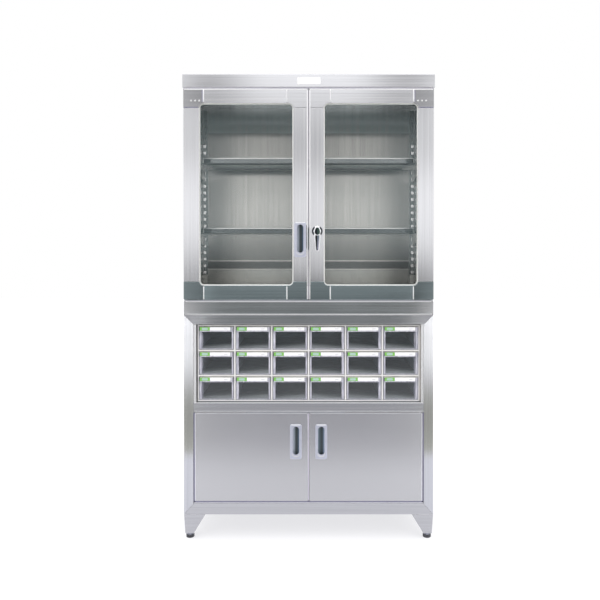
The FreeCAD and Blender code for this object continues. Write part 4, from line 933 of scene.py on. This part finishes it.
BESIDE = [(-30, 0.60, LILAC), (-17, 0.64, LILAC), (-15.2, 0.53, LILAC), (-13.5, 0.61, LILAC), (-9, 0.36, GREEN), (-8, 0.27, GREEN), (-7.2, 0.20, GREEN), (-6.5, 0.12, GREEN), (-4.5, 0.09, GREEN), (-3.8, 0.12, WHITE), (-3.2, 0.25, WHITE), (-2.2, 0.75, WHITE),
          (-1.0, 1.30, WHITE), (1.0, 1.52, WHITE), (4, 1.50, WHITE), (6.2, 1.18, WHITE), (8.3, 1.02, WHITE), (9.6, 0.98, WHITE), (10.6, 0.48, WHITE), (11.5, 0.34, WHITE), (12.4, 0.52, WHITE), (13.5, 1.00, WHITE), (22, 1.1, WHITE), (34, 1.30, WHITE), (50, 1.85, WHITE)]
AROUND = [(-30, 0.62, OLIVE), (-17.5, 0.66, OLIVE), (-14.4, 0.41, OLIVE), (-13.6, 0.40, OLIVE), (-12.8, 0.74, WHITE), (-11.5, 1.8, WHITE), (-10.5, 2.35, WHITE), (-8.2, 3.1, WHITE), (-7.0, 3.1, WHITE), (-6.8, 1.0, WHITE), (-6.0, 0.66, WHITE),
          (-5.2, 0.55, WHITE), (-3.6, 0.92, WHITE), (-2.2, 1.26, WHITE), (0.0, 1.48, WHITE), (2.5, 1.64, WHITE), (5, 1.50, WHITE), (7.2, 1.16, WHITE), (8.6, 1.22, WHITE), (10.8, 1.46, WHITE),
          (13, 1.30, WHITE), (18, 1.05, WHITE), (34, 1.20, WHITE), (50, 1.85, WHITE)]
FAR = [(-30, 0.60, OLIVE), (-14, 0.80, WHITE), (-7, 1.15, WHITE), (0, 1.25, WHITE), (5, 1.40, WHITE), (9, 1.10, WHITE), (18, 0.96, WHITE), (30, 1.15, WHITE), (50, 1.85, WHITE)]

world = bpy.data.worlds.new("studio")
scene.world = world
world.use_nodes = True
wn = world.node_tree
wn.nodes.clear()


def w_math(op, a, b):
    n = wn.nodes.new("ShaderNodeMath")
    n.operation = op
    for i, v in enumerate((a, b)):
        if isinstance(v, (int, float)):
            n.inputs[i].default_value = v
        else:
            wn.links.new(v, n.inputs[i])
    return n.outputs[0]


def w_bands(fac, stops):
    n = wn.nodes.new("ShaderNodeValToRGB")
    n.color_ramp.interpolation = "LINEAR"
    els = n.color_ramp.elements
    els.remove(els[1])
    for i, (deg, level, tint) in enumerate(stops):
        pos = (deg - EL_LO) / (EL_HI - EL_LO)
        e = els[0] if i == 0 else els.new(pos)
        e.position = pos
        e.color = (*(level * c for c in tint), 1.0)
    wn.links.new(fac, n.inputs[0])
    return n.outputs[0]


w_dir = wn.nodes.new("ShaderNodeTexCoord")
w_sep = wn.nodes.new("ShaderNodeSeparateXYZ")
wn.links.new(w_dir.outputs["Generated"], w_sep.inputs[0])
w_x, w_y, w_z = w_sep.outputs
w_flat = w_math("SQRT", w_math("ADD", w_math("MULTIPLY", w_x, w_x), w_math("MULTIPLY", w_y, w_y)), 0.0)
w_el = w_math("MULTIPLY", w_math("ARCTAN2", w_z, w_flat), 180.0 / math.pi)
w_az = w_math("ABSOLUTE", w_math("MULTIPLY", w_math("ARCTAN2", w_x, w_math("MULTIPLY", w_y, -1.0)), 180.0 / math.pi), 0.0)
w_fac = w_math("DIVIDE", w_math("SUBTRACT", w_el, EL_LO), EL_HI - EL_LO)


def w_blend(near, far, lo, hi):
    """Goes over from one tone to the next between two angles to the side."""
    f = wn.nodes.new("ShaderNodeMapRange")
    f.interpolation_type = "SMOOTHSTEP"
    f.inputs["From Min"].default_value = lo
    f.inputs["From Max"].default_value = hi
    wn.links.new(w_az, f.inputs["Value"])
    n = wn.nodes.new("ShaderNodeMix")
    n.data_type = "RGBA"
    wn.links.new(f.outputs["Result"], n.inputs[0])
    wn.links.new(near, n.inputs[6])
    wn.links.new(far, n.inputs[7])
    return n.outputs[2]


w_tone = w_blend(w_bands(w_fac, AHEAD), w_bands(w_fac, BESIDE), 3.5, 8.0)
w_tone = w_blend(w_tone, w_bands(w_fac, AROUND), 9.5, 10.4)
w_tone = w_blend(w_tone, w_bands(w_fac, FAR), 40.0, 75.0)
w_room = wn.nodes.new("ShaderNodeBackground")
wn.links.new(w_tone, w_room.inputs["Color"])
w_room.inputs["Strength"].default_value = 1.0
w_pale = wn.nodes.new("ShaderNodeBackground")
w_pale.inputs["Color"].default_value = (1.0, 1.0, 1.0, 1.0)
w_pale.inputs["Strength"].default_value = 1.0
w_path = wn.nodes.new("ShaderNodeLightPath")
w_mix = wn.nodes.new("ShaderNodeMixShader")
w_out = wn.nodes.new("ShaderNodeOutputWorld")
wn.links.new(w_path.outputs["Is Camera Ray"], w_mix.inputs[0])
wn.links.new(w_room.outputs[0], w_mix.inputs[1])
wn.links.new(w_pale.outputs[0], w_mix.inputs[2])
wn.links.new(w_mix.outputs[0], w_out.inputs["Surface"])

# ------------------------------------------------------------------ camera
cam = bpy.data.cameras.new("camera")
cam.sensor_fit = "HORIZONTAL"
cam.sensor_width = 36.0
cam.lens = 40.27
cam.shift_x = -0.0143
cam.shift_y = -0.0958
cam.dof.use_dof = False
cam_ob = bpy.data.objects.new("camera", cam)
cam_ob.location = (0.0, -2.645, 1.1146)
cam_ob.rotation_euler = (math.radians(90.0 - 0.65), 0.0, 0.0)
scene.collection.objects.link(cam_ob)
scene.camera = cam_ob

lo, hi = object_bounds()
